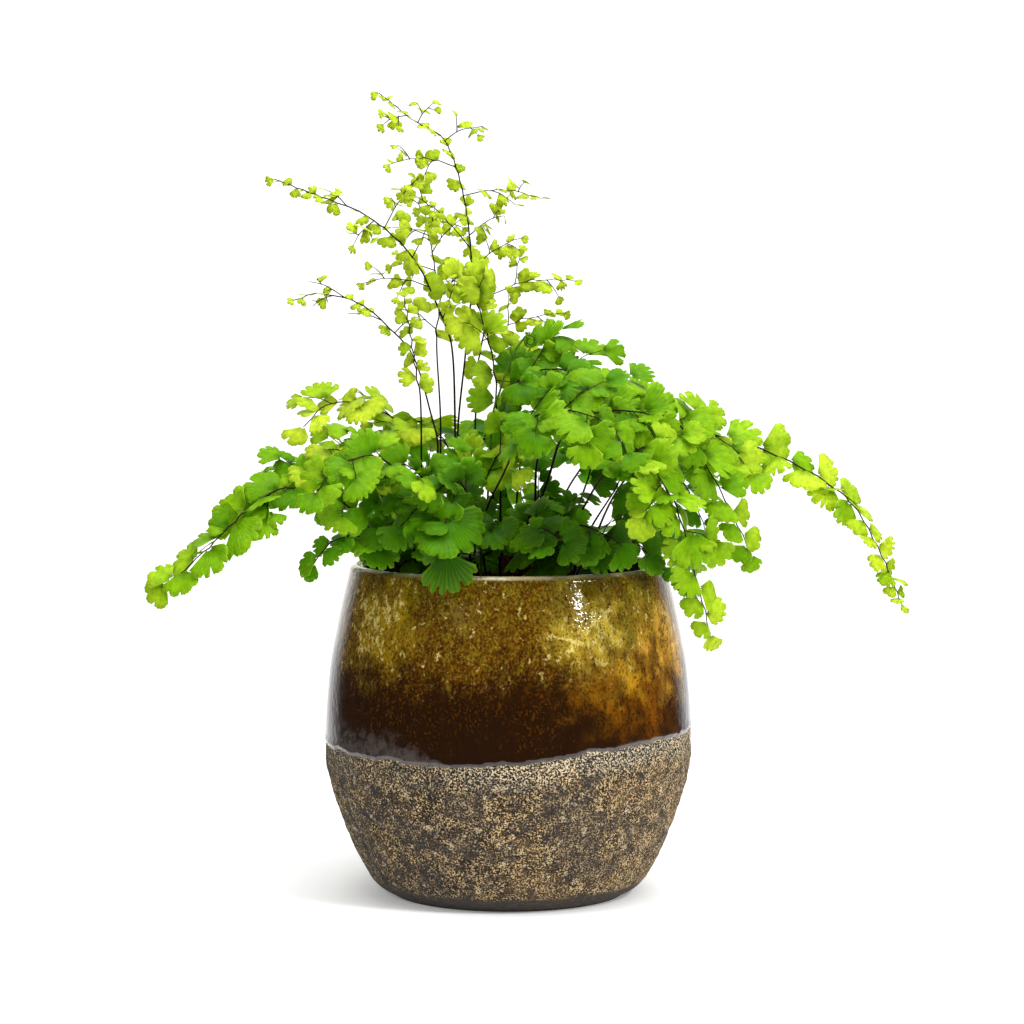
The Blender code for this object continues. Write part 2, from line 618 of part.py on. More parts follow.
def make_frond(name, stalk, material, home):
    bm = bmesh.new()
    plus, minus = (bm.verts.new(corner) for corner in corners(stalk, 0, STALK_HALF))
    bm.edges.new((plus, minus))
    add_ribbon(bm, stalk, (plus, minus), 0, STALK_HALF)
    bmesh.ops.recalc_face_normals(bm, faces=bm.faces)
    frond = finish_mesh(name, bm, material, home)
    thick = frond.modifiers.new("Thickness", "SOLIDIFY")
    thick.thickness = SHEET
    thick.offset = 0
    return frond


def finish_mesh(name, bm, material, home):
    """Turns a bmesh into an object with a material, in its collection."""
    mesh = bpy.data.meshes.new(name)
    bm.to_mesh(mesh)
    bm.free()
    mesh.materials.append(material)
    piece = bpy.data.objects.new(name, mesh)
    home.objects.link(piece)
    return piece


def make_turned(name, profile, material, home):
    """A solid turned about Z from a profile that runs down its outer side, from axis to axis."""
    bm = bmesh.new()
    verts = [bm.verts.new((radius, 0, height)) for radius, height in profile]
    for a, b in zip(verts, verts[1:]):
        bm.edges.new((a, b))
    piece = finish_mesh(name, bm, material, home)
    lathe = piece.modifiers.new("Lathe", "SCREW")
    lathe.steps = lathe.render_steps = TURNS
    lathe.use_merge_vertices = True
    lathe.merge_threshold = 0.00005
    lathe.use_smooth_shade = True
    return piece


def pot_profile():
    """From the middle of the inside floor, up the inside, over the rim and down the outside."""
    outer = [Vector((r * MM, 0, z * MM)) for r, z in POT_OUTLINE]
    outside = through(outer, 0.016)
    top = outside[-1]
    inside = [point for point in outside if point.z > POT_FLOOR + 0.006]
    inner = [(point.x - POT_WALL, point.z) for point in inside]
    rim_middle, rim_half = top.x - POT_WALL / 2, POT_WALL / 2
    rim = []
    for k in range(1, 6):
        angle = math.pi * k / 6
        rim.append((rim_middle - rim_half * math.cos(angle), top.z + RIM_ROUND * math.sin(angle)))
    floor = [(0, POT_FLOOR), (inner[0][0] - 0.008, POT_FLOOR), (inner[0][0] - 0.0025, POT_FLOOR + 0.002)]
    down = [(point.x, point.z) for point in reversed(outside)]
    return [*floor, *inner, *rim, *down, (0, 0)]


def soil_profile():
    """The soil fills the planter up to its level, a little clear of the wall."""
    inside = pot_profile()
    inside = inside[: inside.index(max(inside, key=lambda spot: spot[1]))]
    wall = float(np.interp(SOIL_EDGE, [z for _, z in inside], [r for r, _ in inside])) - GAP
    below = [(r - GAP, z + GAP) for r, z in inside if r > 0 and z < SOIL_EDGE - 0.004]
    top = [(0, SOIL_TOP), (SOIL_LEVEL_RADIUS, SOIL_TOP), (wall, SOIL_EDGE)]
    return [*top, *reversed(below), (0, POT_FLOOR + GAP)]


def make_crown(material, home):
    """The rhizome's mound: a low dome that is flat below."""
    bm = bmesh.new()
    bmesh.ops.create_uvsphere(bm, u_segments=28, v_segments=10, radius=1)
    for vert in bm.verts:
        flat = vert.co.xy.length
        vert.co.xy = Vector(CROWN_MIDDLE) + vert.co.xy * CROWN_RADIUS
        rise = CROWN_HEIGHT * (1 - flat**4) if vert.co.z > 0.01 else 0
        vert.co.z = SOIL_TOP + GAP + rise
    return finish_mesh("rhizome", bm, material, home)


def make_crozier(name, line, material, home):
    curve = bpy.data.curves.new(name, "CURVE")
    curve.dimensions = "3D"
    curve.bevel_depth = CROZIER_THICK / 2
    curve.bevel_resolution = 1
    curve.use_fill_caps = True
    spline = curve.splines.new("POLY")
    spline.points.add(len(line) - 1)
    for point, spot in zip(spline.points, line):
        point.co = (*spot, 1)
    curve.materials.append(material)
    home.objects.link(bpy.data.objects.new(name, curve))


def make_material(name, colour, roughness, metallic=0.0):
    material = bpy.data.materials.new(name)
    material.use_nodes = True
    shader = material.node_tree.nodes["Principled BSDF"]
    shader.inputs["Base Color"].default_value = (*colour, 1)
    shader.inputs["Roughness"].default_value = roughness
    shader.inputs["Metallic"].default_value = metallic
    return material


def main():
    for item in list(bpy.data.objects):
        bpy.data.objects.remove(item, do_unlink=True)
    home = bpy.data.collections.new("potted_maidenhair_fern")
    bpy.context.scene.collection.children.link(home)

    glaze = make_material("brown_glaze", (0.22, 0.11, 0.02), 0.15)
    soil = make_material("potting_soil", (0.035, 0.022, 0.015), 0.95)
    rhizome = make_material("rhizome_scales", (0.12, 0.05, 0.02), 0.8)
    green = make_material("fern_green", (0.16, 0.38, 0.02), 0.5)

    make_turned("planter", pot_profile(), glaze, home)
    make_turned("potting_soil", soil_profile(), soil, home)
    make_crown(rhizome, home)
    for name, stalk in grow_fern().items():
        make_frond(name, stalk, green, home)
    for name, *shape in CROZIERS:
        make_crozier(name, crozier_line(*shape), green, home)


main()
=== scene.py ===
"""Looks of a maidenhair fern that grows in a round glazed stoneware planter.

Units are metres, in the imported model's frame; the fern's routes and the planter's outline are written in
millimetres, as in the CAD, and the fern grows by the CAD's rules, with more and finer leaflets.
"""

import bisect
import math
import random

import bmesh
import bpy
import numpy as np
from mathutils import Matrix, Quaternion, Vector, kdtree, noise

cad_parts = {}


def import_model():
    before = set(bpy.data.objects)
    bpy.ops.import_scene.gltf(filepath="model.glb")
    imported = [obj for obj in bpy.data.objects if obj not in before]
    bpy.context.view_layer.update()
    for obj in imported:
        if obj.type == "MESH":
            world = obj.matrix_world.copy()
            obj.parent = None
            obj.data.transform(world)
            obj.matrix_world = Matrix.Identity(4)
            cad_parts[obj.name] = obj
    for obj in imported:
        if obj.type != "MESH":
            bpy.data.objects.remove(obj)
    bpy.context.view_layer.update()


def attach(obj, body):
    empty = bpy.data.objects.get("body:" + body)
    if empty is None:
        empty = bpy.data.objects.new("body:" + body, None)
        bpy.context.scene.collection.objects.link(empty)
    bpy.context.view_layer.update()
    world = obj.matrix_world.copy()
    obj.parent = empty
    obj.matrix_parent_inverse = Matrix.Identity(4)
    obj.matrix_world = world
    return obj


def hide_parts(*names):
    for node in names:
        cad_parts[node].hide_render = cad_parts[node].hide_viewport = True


MM = 0.001
UP = Vector((0, 0, 1))

# Planter: outer radius and height in mm at the points that its curve needs, from the foot to the rim.
POT_OUTLINE = (
    (57, 0), (66.5, 6), (74, 18.5), (83.8, 42), (89, 60), (90, 75), (87.8, 108), (83.3, 134), (77.6, 158.8),
)
POT_BELLY = 0.09
POT_WALL = 0.0065
POT_FLOOR = 0.011
INSIDE_START = 0.006  # height of the inside wall's lowest point over the floor
INSIDE_CORNER = ((0.008, 0), (0.0025, 0.002))  # the floor's edge: how far in from the wall and how high
RIM_ROUND = 0.0032
RIM_STEPS = 10
FOOT_HOLLOW = (0.004, 0.0004)  # how wide the foot's edge is and how far the underside is off the table
POT_STEP = 0.0013  # between two points of its outline
POT_COLUMNS = 440
# The glaze's lower edge: its height in mm at angles in degrees from the front, positive to the right.
GLAZE_EDGE = (
    (-180, 77), (-120, 79), (-75, 74.5), (-42, 74.2), (-15, 73.4), (8, 76), (25, 79.6), (50, 81.5),
    (85, 81.8), (130, 78.5), (180, 77),
)
# Relief: lumps as (their width, their height, a shift that makes each kind differ).
EDGE_WAVES = ((0.011, 0.0016, 0), (0.0035, 0.0007, 7))
GLAZE_LUMPS = ((0.022, 0.00025, 0),)
COAT_LUMPS = ((0.006, 0.0005, 0), (0.0028, 0.00045, 3), (0.02, 0.0005, 5))
GLAZE_THICK = 0.0006
GLAZE_STEP = 0.0012  # height over which the glaze rises from the coat to its full thickness
GLAZE_BEAD = (0.0018, 0.0014, 0.00035)  # the bead along the edge: its height over it, width and thickness
SKIN_DEPTH = 0.0004  # of glaze and coat, under the outline
ALL_GLAZED = 0.02  # height over the edge that the inside and the underside count as
RIM_START = 0.15  # height above which the wall rounds over into the rim
FOOT_RING = 0.0075  # height of the smooth ring that the planter stands on

SOIL_EDGE = 0.1425
SOIL_TOP = 0.1455
SOIL_LEVEL_RADIUS = 0.066
SOIL_SHELL = 0.006  # depth of the soil's surface piece
SOIL_STEP = 0.0016
SOIL_COLUMNS = 220
SOIL_WAVES = (0.009, 0.0014)  # width and height
SOIL_CLODS = (0.0035, 0.0013)
CROWN_MIDDLE = Vector((-0.006, 0.001, 0))
CROWN_RADIUS = 0.06
CROWN_HEIGHT = 0.006
KNOBS = 0.0016  # of the rhizome
CRUMBS = 1500
CRUMB_FIELD = 0.0745
CRUMB_SIZE = (0.0007, 0.0014)  # the smallest, and how much larger the largest is
CRUMB_STRETCH = ((0.7, 1.6), (0.7, 1.3), (0.4, 0.8))
SCALES = 1300
SCALE_LENGTH = (0.0015, 0.0038)
SCALE_RADII = (0.0003, 0.00005)
SCALE_FLATNESS = 0.3

# Fern
LEAF_SPREAD = math.radians(50)  # half the angle of a leaflet's fan
LEAF_SHOULDER = 0.8  # the fan's side length beside its middle length
LEAF_SAMPLE = 0.0024  # between the points that stand for a leaflet
LEAF_CLEARANCE = 0.0011
STALK_CLEARANCE = 0.001
FORK_SPAN = 0.0042  # a leaflet may lie close to its frond's other stalks this near to its root
OWN_STALK_SPAN = 0.006
PLANTER_CLEARANCE = 0.0012
NEAR = 0.72  # leaflets are compared when their middles are within this share of their sizes together
NODE_ROOM = 0.0026  # along a stalk, between two leaflets
SHOOT_ROOM = 0.006
SHOOT_BARE = 0.28
SHOOT_TAPER = 0.4
SHOOT_LIFT = 0.08
SHOOT_WAY = (0.6, 0.85, 0.05)  # of a regular shoot: along the stalk, out to the side and up
SHOOT_LEAVES = (0.95, 0.7)  # the first and last leaflet's size, beside the frond's first
AIRY_SHOOT_LEAVES = (0.85, 0.5)
TWIGS = (0.35, 0.7, 2)  # on an airy frond's shoots: from, to and count
TWIG_LENGTH = 0.32  # beside the shoot that they grow on
LEAF_VARIETY = (0.85, 1.1)
LEAF_SPACING = 0.5  # along a stalk, beside the leaflet's size
AIRY_SPACING = 0.6
LEAF_LEAN = (52, 76)  # degrees from the stalk's heading
LEAF_ROLL = 23
AIRY_ROLL = 38  # of the airy fronds, whose leaflets tremble on hairs
LEAF_DROOP = 0.3  # how far a leaflet leans to straight down, unless its frond says its own
LEAF_FACING = 0.6
# More roll, more pitch and a smaller size, in turn, until a leaflet has room.
LEAF_TRIES = (
    (0, 0, 1), (22, 0, 1), (-22, 0, 1), (0, 20, 1), (0, -20, 1), (34, 16, 0.9), (-34, -16, 0.9),
    (20, 30, 0.75), (-20, -30, 0.75), (45, 0, 0.62), (-45, 0, 0.62),
)
FILL_SIZES = (0.55, 0.85)  # of the small leaflets that fill gaps, beside their neighbours
FILL_STEP = 0.0034
SMALLEST_LEAF = 0.0032
STALKLET = 0.1  # the hair-thin stalk below a leaflet's blade, beside the leaflet's length
BLADE_FACTS = ("tone", "across", "out", "edge")
# Leaflets above a size: their columns and rows of faces, their lobes, and half the fan's angle in degrees.
LEAF_FORMS = ((0.0125, 30, 3, (4, 6), 59), (0.008, 24, 3, (3, 5), 54), (0, 14, 2, (2, 4), 46))
RUFFLE = (3, 0.07)  # waves across a blade and their depth
FINE_RUFFLE = (4, 0.03)  # columns to a wave and the depth
BLADE_TWIST = 0.15
BLADE_OPENING = (0.92, 1.1)
BLADE_DROOP = (0.02, 0.3)
BLADE_CUP = (-0.16, 0.26)
TONE_VARIETY = 0.15
SHEET = 0.00018
SIDE_FALL = 0.12  # how much shorter a leaflet is at its sides
CORNER_FALL = 0.11  # and at its rounded corners
LOBE_FALL = 0.09  # between two lobes
CLEFT_HALF = 0.06
CLEFT_DEPTH = (0.03, 0.12)
DEEP_CLEFT = 0.13  # more, in one cleft of four
TOOTH = 0.028
SKEW = 0.2
STALK_RADIUS = (0.0007, 0.00024)  # at a frond's root and at its tip
SHOOT_RADIUS = (0.0003, 0.00017)
HAIR_RADIUS = 0.0001
ZIGZAG = 0.0004  # how far a stalk swings towards what grows on it
LINE_STEP = 0.004  # between two points of a main stalk
CROZIER_RADIUS = (0.0006, 0.00035)
CURL_TURNS = 1.15
CURL_STEPS = 40
CURL_SHRINK = 0.7
BUD_SIZE = 0.0008
BUD_REACH = 0.0011  # from the curled stalk outwards
BUD_SIDE = 0.0007

# Colours are linear. A ramp is a list of (place, colour).
GLAZE_COLOURS = (
    (0.05, (0.012, 0.004, 0.001)), (0.3, (0.014, 0.0042, 0.0004)), (0.47, (0.028, 0.009, 0.0004)),
    (0.6, (0.062, 0.024, 0.0006)), (0.75, (0.084, 0.04, 0.001)), (0.95, (0.07, 0.046, 0.0015)),
)
GLAZE_HEIGHT = 0.086  # from its edge to the rim
GLAZE_ROUGHNESS = 0.07
REDDISH_GLAZE = (0.07, 0.02, 0.0006)
GOLDEN_GLAZE = (0.16, 0.11, 0.006)
CREAM_GLAZE = (0.85, 0.68, 0.22)
GOLD_SPECKS = (0.4, 0.26, 0.02)
AMBER_SPECKS = (0.15, 0.05, 0.0015)
DARK_SPECKS = (0.016, 0.006, 0.001)
# Grey veil at the glaze's edge: partly the glaze's own colour, partly a painted sheen.
VEIL_AND_SHEEN = (0.066, 0.054, 0.049)
# Pale lip along the rim: partly glaze that has broken thin, partly a painted highlight.
WORN_LIP_AND_HIGHLIGHT = (0.5, 0.42, 0.22)
# Where the glaze pooled in another colour: the middle, the radius, the colour and how strong it is.
GLAZE_BLOOMS = (
    ((0.046, -0.07, 0.136), 0.034, (0.8, 0.56, 0.05), 1.0),
    ((0.066, -0.048, 0.146), 0.026, (0.12, 0.13, 0.006), 0.9),
    ((0.03, -0.08, 0.148), 0.022, (0.24, 0.2, 0.02), 0.7),
    ((-0.02, -0.082, 0.142), 0.014, (0.17, 0.12, 0.03), 0.6),
    ((-0.06, -0.056, 0.138), 0.034, (0.42, 0.26, 0.006), 0.9),
    ((0.078, -0.034, 0.13), 0.034, (1.0, 0.52, 0.06), 1.0),
    ((0.064, -0.058, 0.1), 0.034, (0.2, 0.062, 0.001), 0.9),
    ((0.046, -0.074, 0.108), 0.03, (0.24, 0.09, 0.002), 0.85),
    ((0.06, -0.064, 0.115), 0.016, (0.8, 0.42, 0.02), 0.8),
)
# Where the glaze broke into cream dabs: the middle and the radius.
GLAZE_CREAMS = (
    ((0.046, -0.07, 0.132), 0.036), ((-0.02, -0.082, 0.143), 0.01), ((-0.064, -0.054, 0.136), 0.03),
    ((0.081, -0.03, 0.135), 0.024),
)
POOL_WARP = (0.014, 0.05)  # the width of the noise that moves a pool's outline, and how far it does
COAT_ROUGHNESS = 0.95
COAT_COLOURS = (
    (0.42, (0.002, 0.0012, 0.0007)), (0.48, (0.019, 0.012, 0.0055)), (0.55, (0.11, 0.07, 0.032)),
    (0.62, (0.66, 0.46, 0.21)),
)
GREY_COAT = (0.036, 0.031, 0.029)
BROWN_COAT = (0.16, 0.095, 0.045)
PALE_DABS = (0.72, 0.58, 0.36)
PALE_GRAINS = (0.85, 0.72, 0.5)
BARE_FOOT = (0.03, 0.023, 0.019)
LEAF_COLOURS = (
    (0, (0.014, 0.065, 0.001)), (0.35, (0.1, 0.32, 0.002)), (0.65, (0.3, 0.58, 0.002)),
    (1, (0.82, 0.96, 0.05)),
)
LEAF_TINTS = ((0.36, 0.78, 0.008), (0.76, 0.93, 0.06))  # of the veins, on dark and on pale leaflets
# Painted highlight along the leaflets' edges.
LEAF_EDGE_HIGHLIGHT = (0.55, 0.85, 0.06)
# Painted shade at the leaflets' bases.
LEAF_BASE_SHADE = (0.03, 0.15, 0.001)  # near the stalklet
LEAF_BLOTCH = (0.03, 0.1, 0.005)
VEINS = 7  # to each side, before they fork
SEE_THROUGH = 0.4  # the share of light that passes a leaflet
STALK_COLOURS = ((0.35, (0.008, 0.004, 0.003)), (0.65, (0.03, 0.012, 0.007)))
YOUNG_COLOURS = ((0.35, (0.04, 0.11, 0.006)), (0.65, (0.09, 0.17, 0.015)))
RHIZOME_COLOURS = ((0.35, (0.02, 0.011, 0.006)), (0.5, (0.06, 0.032, 0.015)), (0.68, (0.14, 0.085, 0.042)))
SOIL_COLOURS = ((0.35, (0.008, 0.005, 0.003)), (0.55, (0.024, 0.014, 0.008)), (0.7, (0.06, 0.036, 0.02)))
CRUMB_COLOURS = (
    (0.1, (0.008, 0.005, 0.003)), (0.6, (0.035, 0.02, 0.011)), (0.9, (0.09, 0.05, 0.025)),
    (0.98, (0.4, 0.36, 0.3)),
)

# Studio
WORLD_DEPTHS = (0.62, 0.95)  # from the dark side to the bright back, as the way's part along Y
WORLD_LEVELS = (0.05, 1.3)
WORLD_RISE = (0.6, 0.95)  # where the light from above starts and is full
WORLD_TOP = 0.9
FLOOR_RADIUS = 0.5
FLOOR_WHITE = (0.96, 0.96, 0.96)
FLOOR_GLOW = 0.15
# Softboxes: name, stand, aim, (width, height), watts, and whether the glaze mirrors them.
PANELS = (
    ("overhead", (0.1, -0.15, 1.7), (0, 0, 0.2), (1.5, 1.2), 30, True),
    ("key", (1.1, -1.0, 1.3), (0, 0, 0.2), (0.3, 0.3), 17, False),
    ("sparkle", (1.0, -0.66, 0.585), (0.038, -0.069, 0.152), (0.36, 0.075), 5, True),
    ("fill", (-0.5, -2.2, 0.8), (0, 0, 0.15), (1.4, 1.0), 10, False),
    ("left_fill", (-1.4, -0.9, 1.1), (0, 0, 0.2), (0.8, 0.8), 9, False),
)
CAMERA_PLACE = (0.0018, -1.55, 0.2956)
CAMERA_TILT = 4.006  # degrees down
CAMERA_LENS = 111.4

# Each frond: its route in mm from the rhizome to its tip, how much of it is bare (0 to 1), the lengths of
# its leaflets in mm and their tones from first to last (0 is old and dark green, 1 young and yellow green;
# the tones also hold painted shade and light: darkest on the low fronds by the rim, and set per frond to
# how lit it looks), the way its upper side faces, its regular side shoots as (from, to, count, length of
# the first in mm), and its own side shoots as (where, way to the tip in mm). An airy frond has twigs on its
# shoots.
FRONDS = {
    "frond_tall_centre": dict(
        route=((-24, 10), (-25, 8, 183), (-25, 12, 226), (-21, 15, 267), (-18, 14, 305), (-22, 8, 342),
               (-31, 0, 368), (-45, -8, 377), (-62, -18, 390)),
        bare=0.6, leaves=(8.8, 4.8), tones_and_shade=(0.94, 1), face=(0.1, -0.5, 0.85), airy=True,
        shoots=((0.63, (-34, -38, 28)), (0.655, (17, -18, 9)), (0.73, (38, -22, -2)), (0.785, (-31, -34, 0)),
                (0.84, (18, 16, 8)), (0.905, (7, 12, 10)), (0.93, (-11, -14, -5))),
    ),
    "frond_tall_left": dict(
        route=((-28, -2), (-26, 0, 190), (-26, 0, 227), (-27, -4, 264), (-31, -8, 280), (-45, -18, 310),
               (-63, -24, 328), (-76, -28, 335), (-92, -34, 341), (-111, -40, 348)),
        bare=0.6, leaves=(8.8, 4.8), tones_and_shade=(0.94, 1), face=(-0.1, -0.55, 0.8), airy=True,
        shoots=((0.54, (8, -22, 18)), (0.61, (-30, -28, 2)), (0.68, (15, -26, 21)), (0.76, (18, -16, 25)),
                (0.785, (-9, -20, -12)), (0.845, (-10, 12, 8))),
    ),
    "frond_thin_left": dict(
        route=((-35, -12), (-36, -15, 194), (-34, -20, 220), (-37, -24, 235), (-45, -32, 263),
               (-56, -40, 277), (-70, -48, 289), (-88, -56, 294), (-100, -62, 291)),
        bare=0.7, leaves=(6.4, 4.2), tones_and_shade=(0.92, 1), face=(-0.1, -0.6, 0.8), airy=True,
        shoots=((0.7, (12, 10, 8)), (0.75, (-16, 8, 3)), (0.86, (-17, -6, 8)), (0.89, (-9, -11, -5))),
    ),
    "frond_upright_left": dict(
        route=((-33, 24), (-34, 24, 190), (-34, 24, 232), (-36, 26, 270), (-34, 26, 292), (-38, 22, 314),
               (-41, 18, 332), (-48, 12, 342)),
        bare=0.62, leaves=(9.4, 5.6), tones_and_shade=(0.96, 1), face=(0, -0.6, 0.8), airy=True,
        shoots=((0.64, (-16, -20, 10)), (0.72, (20, 18, 18)), (0.79, (-22, 22, 2)), (0.835, (16, 14, 19)),
                (0.88, (-19, 12, 4))),
    ),
    "frond_tall_right": dict(
        route=((-16, 16), (-17, 20, 190), (-17, 24, 222), (-15, 28, 260), (-11, 30, 286), (-16, 28, 306),
               (-20, 26, 320)),
        bare=0.6, leaves=(9, 5), tones_and_shade=(0.94, 1), face=(0.15, -0.6, 0.8), airy=True,
        shoots=((0.7, (40, -28, 14)), (0.79, (-18, 20, 10)), (0.83, (44, -26, 8)), (0.92, (22, -20, 14))),
    ),
    "frond_young_thin": dict(
        route=((-41, -19), (-42, -26, 185), (-42, -38, 238), (-44, -43, 258), (-49, -50, 292)),
        bare=0.7, leaves=(9, 5.2), tones_and_shade=(0.88, 0.96), face=(-0.1, -0.7, 0.7),
    ),
    "frond_bright_centre": dict(
        route=((-8, 22), (-9, 22, 165), (-6, 20, 235), (-8, 14, 262), (-14, 4, 285), (-22, -6, 298),
               (-30, -14, 300)),
        bare=0.5, leaves=(14.6, 12), tones_and_shade=(0.66, 0.94), face=(0, -0.75, 0.6),
        shoots=((0.6, (24, -12, -6)), (0.66, (14, 12, 8)), (0.72, (-12, -24, 10)), (0.85, (4, -18, 14))),
    ),
    "frond_centre": dict(
        route=((-3, 5), (-4, 4, 165), (-3, 0, 226), (0, -6, 244), (11, -16, 256), (27, -30, 257),
               (43, -44, 247)),
        bare=0.52, leaves=(17.2, 12.9), tones_and_shade=(0.24, 0.4), face=(0.15, -0.75, 0.6),
        sprays=(0.56, 0.85, 5, 34),
    ),
    "frond_long_right": dict(
        route=((2, -10), (1, -12, 165), (17, -20, 198), (26, -24, 226), (39, -26, 240), (56, -28, 243),
               (92, -32, 229), (130, -36, 216), (161, -40, 197), (177, -42, 172), (188, -42, 146)),
        bare=0.38, leaves=(18.1, 16.8, 5.6), tones_and_shade=(0.26, 0.96), face=(0.25, -0.75, 0.6), droop=0.75,
        shoots=((0.38, (14, -26, -10)), (0.42, (6, 22, -8)), (0.47, (18, -24, -16)), (0.56, (18, -20, -18))),
    ),
    "frond_mid_right": dict(
        route=((13, -4), (13, -14, 190), (15, -34, 218), (28, -50, 233), (50, -58, 239), (67, -60, 237),
               (84, -64, 229), (95, -68, 210), (104, -70, 193), (114, -72, 172)),
        bare=0.5, leaves=(18.9, 17.2, 8.6), tones_and_shade=(0.28, 0.66), face=(0.3, -0.8, 0.5), droop=0.5,
        sprays=(0.5, 0.68, 3, 30),
    ),
    "frond_hanging_right": dict(
        route=((20, -22), (24, -31, 167), (35, -50, 191), (45, -66, 209), (57, -80, 219), (66, -88, 215),
               (75, -94, 201), (80, -96, 188), (88, -100, 158), (93, -102, 138)),
        bare=0.46, leaves=(18.1, 16.3, 8.6), tones_and_shade=(0.44, 0.8), face=(0.3, -0.85, 0.4), droop=0.5,
        sprays=(0.5, 0.75, 3, 26),
    ),
    "frond_upper_right": dict(
        route=((24, 14), (27, 13, 165), (40, 16, 205), (50, 12, 226), (60, 4, 236), (69, -4, 240)),
        bare=0.5, leaves=(15.5, 9.5), tones_and_shade=(0.2, 0.32), face=(0.3, -0.7, 0.6), sprays=(0.55, 0.85, 4, 28),
    ),
    "frond_inner_right": dict(
        route=((31, -6), (34, -7, 167), (41, -12, 182), (50, -26, 198), (58, -36, 212), (63, -44, 226)),
        bare=0.64, leaves=(16.3, 12), tones_and_shade=(0.22, 0.34), face=(0.2, -0.75, 0.6), sprays=(0.72, 0.88, 2, 22),
    ),
    "frond_front_right": dict(
        route=((-10, -26), (-12, -30, 184), (0, -44, 213), (6, -56, 230), (15, -70, 238), (31, -86, 240),
               (47, -98, 233), (54, -108, 222)),
        bare=0.5, leaves=(18.1, 12), tones_and_shade=(0.36, 0.46), face=(0.1, -0.8, 0.55), sprays=(0.55, 0.82, 4, 32),
    ),
    "frond_long_left": dict(
        route=((-52, -24), (-57, -30, 167), (-69, -46, 186), (-79, -57, 196), (-93, -66, 203),
               (-109, -74, 202), (-121, -80, 194), (-135, -88, 180), (-148, -91, 168), (-158, -92, 160)),
        bare=0.3, leaves=(17.5, 18.5, 18, 12), tones_and_shade=(0.44, 0.6), face=(-0.25, -0.8, 0.5),
        sprays=(0.36, 0.62, 3, 26),
    ),
    "frond_pale_high": dict(
        route=((-38, 5), (-41, 6, 173), (-43, 2, 208), (-52, -8, 229), (-61, -16, 237), (-74, -26, 242),
               (-88, -38, 240), (-97, -47, 231)),
        bare=0.48, leaves=(14.6, 11.2), tones_and_shade=(0.72, 0.92), face=(-0.3, -0.6, 0.75),
        sprays=(0.5, 0.86, 4, 24),
    ),
    "frond_pale_low": dict(
        route=((-46, -9), (-51, -11, 167), (-61, -23, 196), (-72, -35, 212), (-79, -45, 219),
               (-87, -55, 220), (-95, -63, 212)),
        bare=0.46, leaves=(15.5, 11.2), tones_and_shade=(0.66, 0.9), face=(-0.3, -0.7, 0.65),
        sprays=(0.48, 0.85, 3, 22),
    ),
    "frond_front_left": dict(
        route=((-42, -27), (-45, -31, 167), (-47, -50, 196), (-53, -66, 212), (-66, -80, 219),
               (-80, -92, 213), (-88, -100, 203)),
        bare=0.45, leaves=(17.2, 12.9), tones_and_shade=(0.48, 0.6), face=(-0.2, -0.75, 0.6), sprays=(0.5, 0.8, 3, 26),
    ),
    "frond_low_left": dict(
        route=((-49, -38), (-54, -45, 168), (-61, -58, 176), (-72, -70, 181), (-83, -78, 178),
               (-90, -83, 169)),
        bare=0.4, leaves=(13.8, 9.5), tones_and_shade=(0.26, 0.42), face=(-0.4, -0.7, 0.6),
    ),
    "frond_over_rim": dict(
        route=((-27, -36), (-30, -42, 170), (-30, -60, 187), (-29, -75, 189), (-28, -84, 184),
               (-28, -88, 175)),
        bare=0.62, leaves=(20.6, 20.6), tones_and_shade=(0.06, 0.12), face=(0.05, -0.9, 0.4),
    ),
    "frond_short_right": dict(
        route=((7, -18), (10, -24, 165), (18, -36, 178), (25, -47, 185), (39, -60, 184), (52, -68, 177)),
        bare=0.4, leaves=(15.5, 12.9), tones_and_shade=(0.06, 0.14), face=(0.2, -0.8, 0.55), sprays=(0.5, 0.8, 2, 20),
    ),
    "frond_short_front": dict(
        route=((4, -34), (6, -41, 165), (9, -54, 179), (17, -66, 184), (26, -74, 178)),
        bare=0.42, leaves=(14.6, 12.9), tones_and_shade=(0.1, 0.18), face=(0.1, -0.85, 0.5), sprays=(0.5, 0.8, 2, 18),
    ),
    "frond_short_left": dict(
        route=((-22, -23), (-24, -25, 165), (-27, -38, 182), (-32, -52, 192), (-41, -65, 194),
               (-50, -76, 186)),
        bare=0.4, leaves=(15.5, 12.9), tones_and_shade=(0.12, 0.26), face=(-0.2, -0.8, 0.55), sprays=(0.5, 0.8, 2, 20),
    ),
    "frond_rim_right": dict(
        route=((41, 2), (45, 1, 165), (57, -4, 180), (69, -14, 185), (79, -22, 175), (84, -27, 157)),
        bare=0.35, leaves=(15.5, 12.9), tones_and_shade=(0.12, 0.3), face=(0.5, -0.7, 0.5), sprays=(0.45, 0.7, 2, 18),
    ),
    "frond_back_left": dict(
        route=((-41, 30), (-50, 40, 175), (-66, 56, 200), (-86, 72, 212), (-108, 88, 206), (-126, 98, 188),
               (-136, 104, 170)),
        bare=0.35, leaves=(17.2, 11.2), tones_and_shade=(0.3, 0.55), face=(-0.45, 0.45, 0.75),
        sprays=(0.38, 0.7, 3, 26),
    ),
    "frond_back": dict(
        route=((-14, 38), (-16, 50, 185), (-14, 72, 215), (-8, 98, 226), (0, 124, 216), (6, 144, 192),
               (10, 154, 168)),
        bare=0.35, leaves=(18.1, 10.3), tones_and_shade=(0.3, 0.55), face=(0, 0.65, 0.75), sprays=(0.38, 0.7, 4, 28),
    ),
    "frond_back_right": dict(
        route=((18, 34), (24, 46, 182), (38, 64, 206), (58, 82, 216), (80, 98, 208), (96, 109, 188),
               (105, 115, 166)),
        bare=0.35, leaves=(17.2, 10.3), tones_and_shade=(0.2, 0.36), face=(0.4, 0.5, 0.75), sprays=(0.38, 0.7, 3, 26),
    ),
    "frond_far_right": dict(
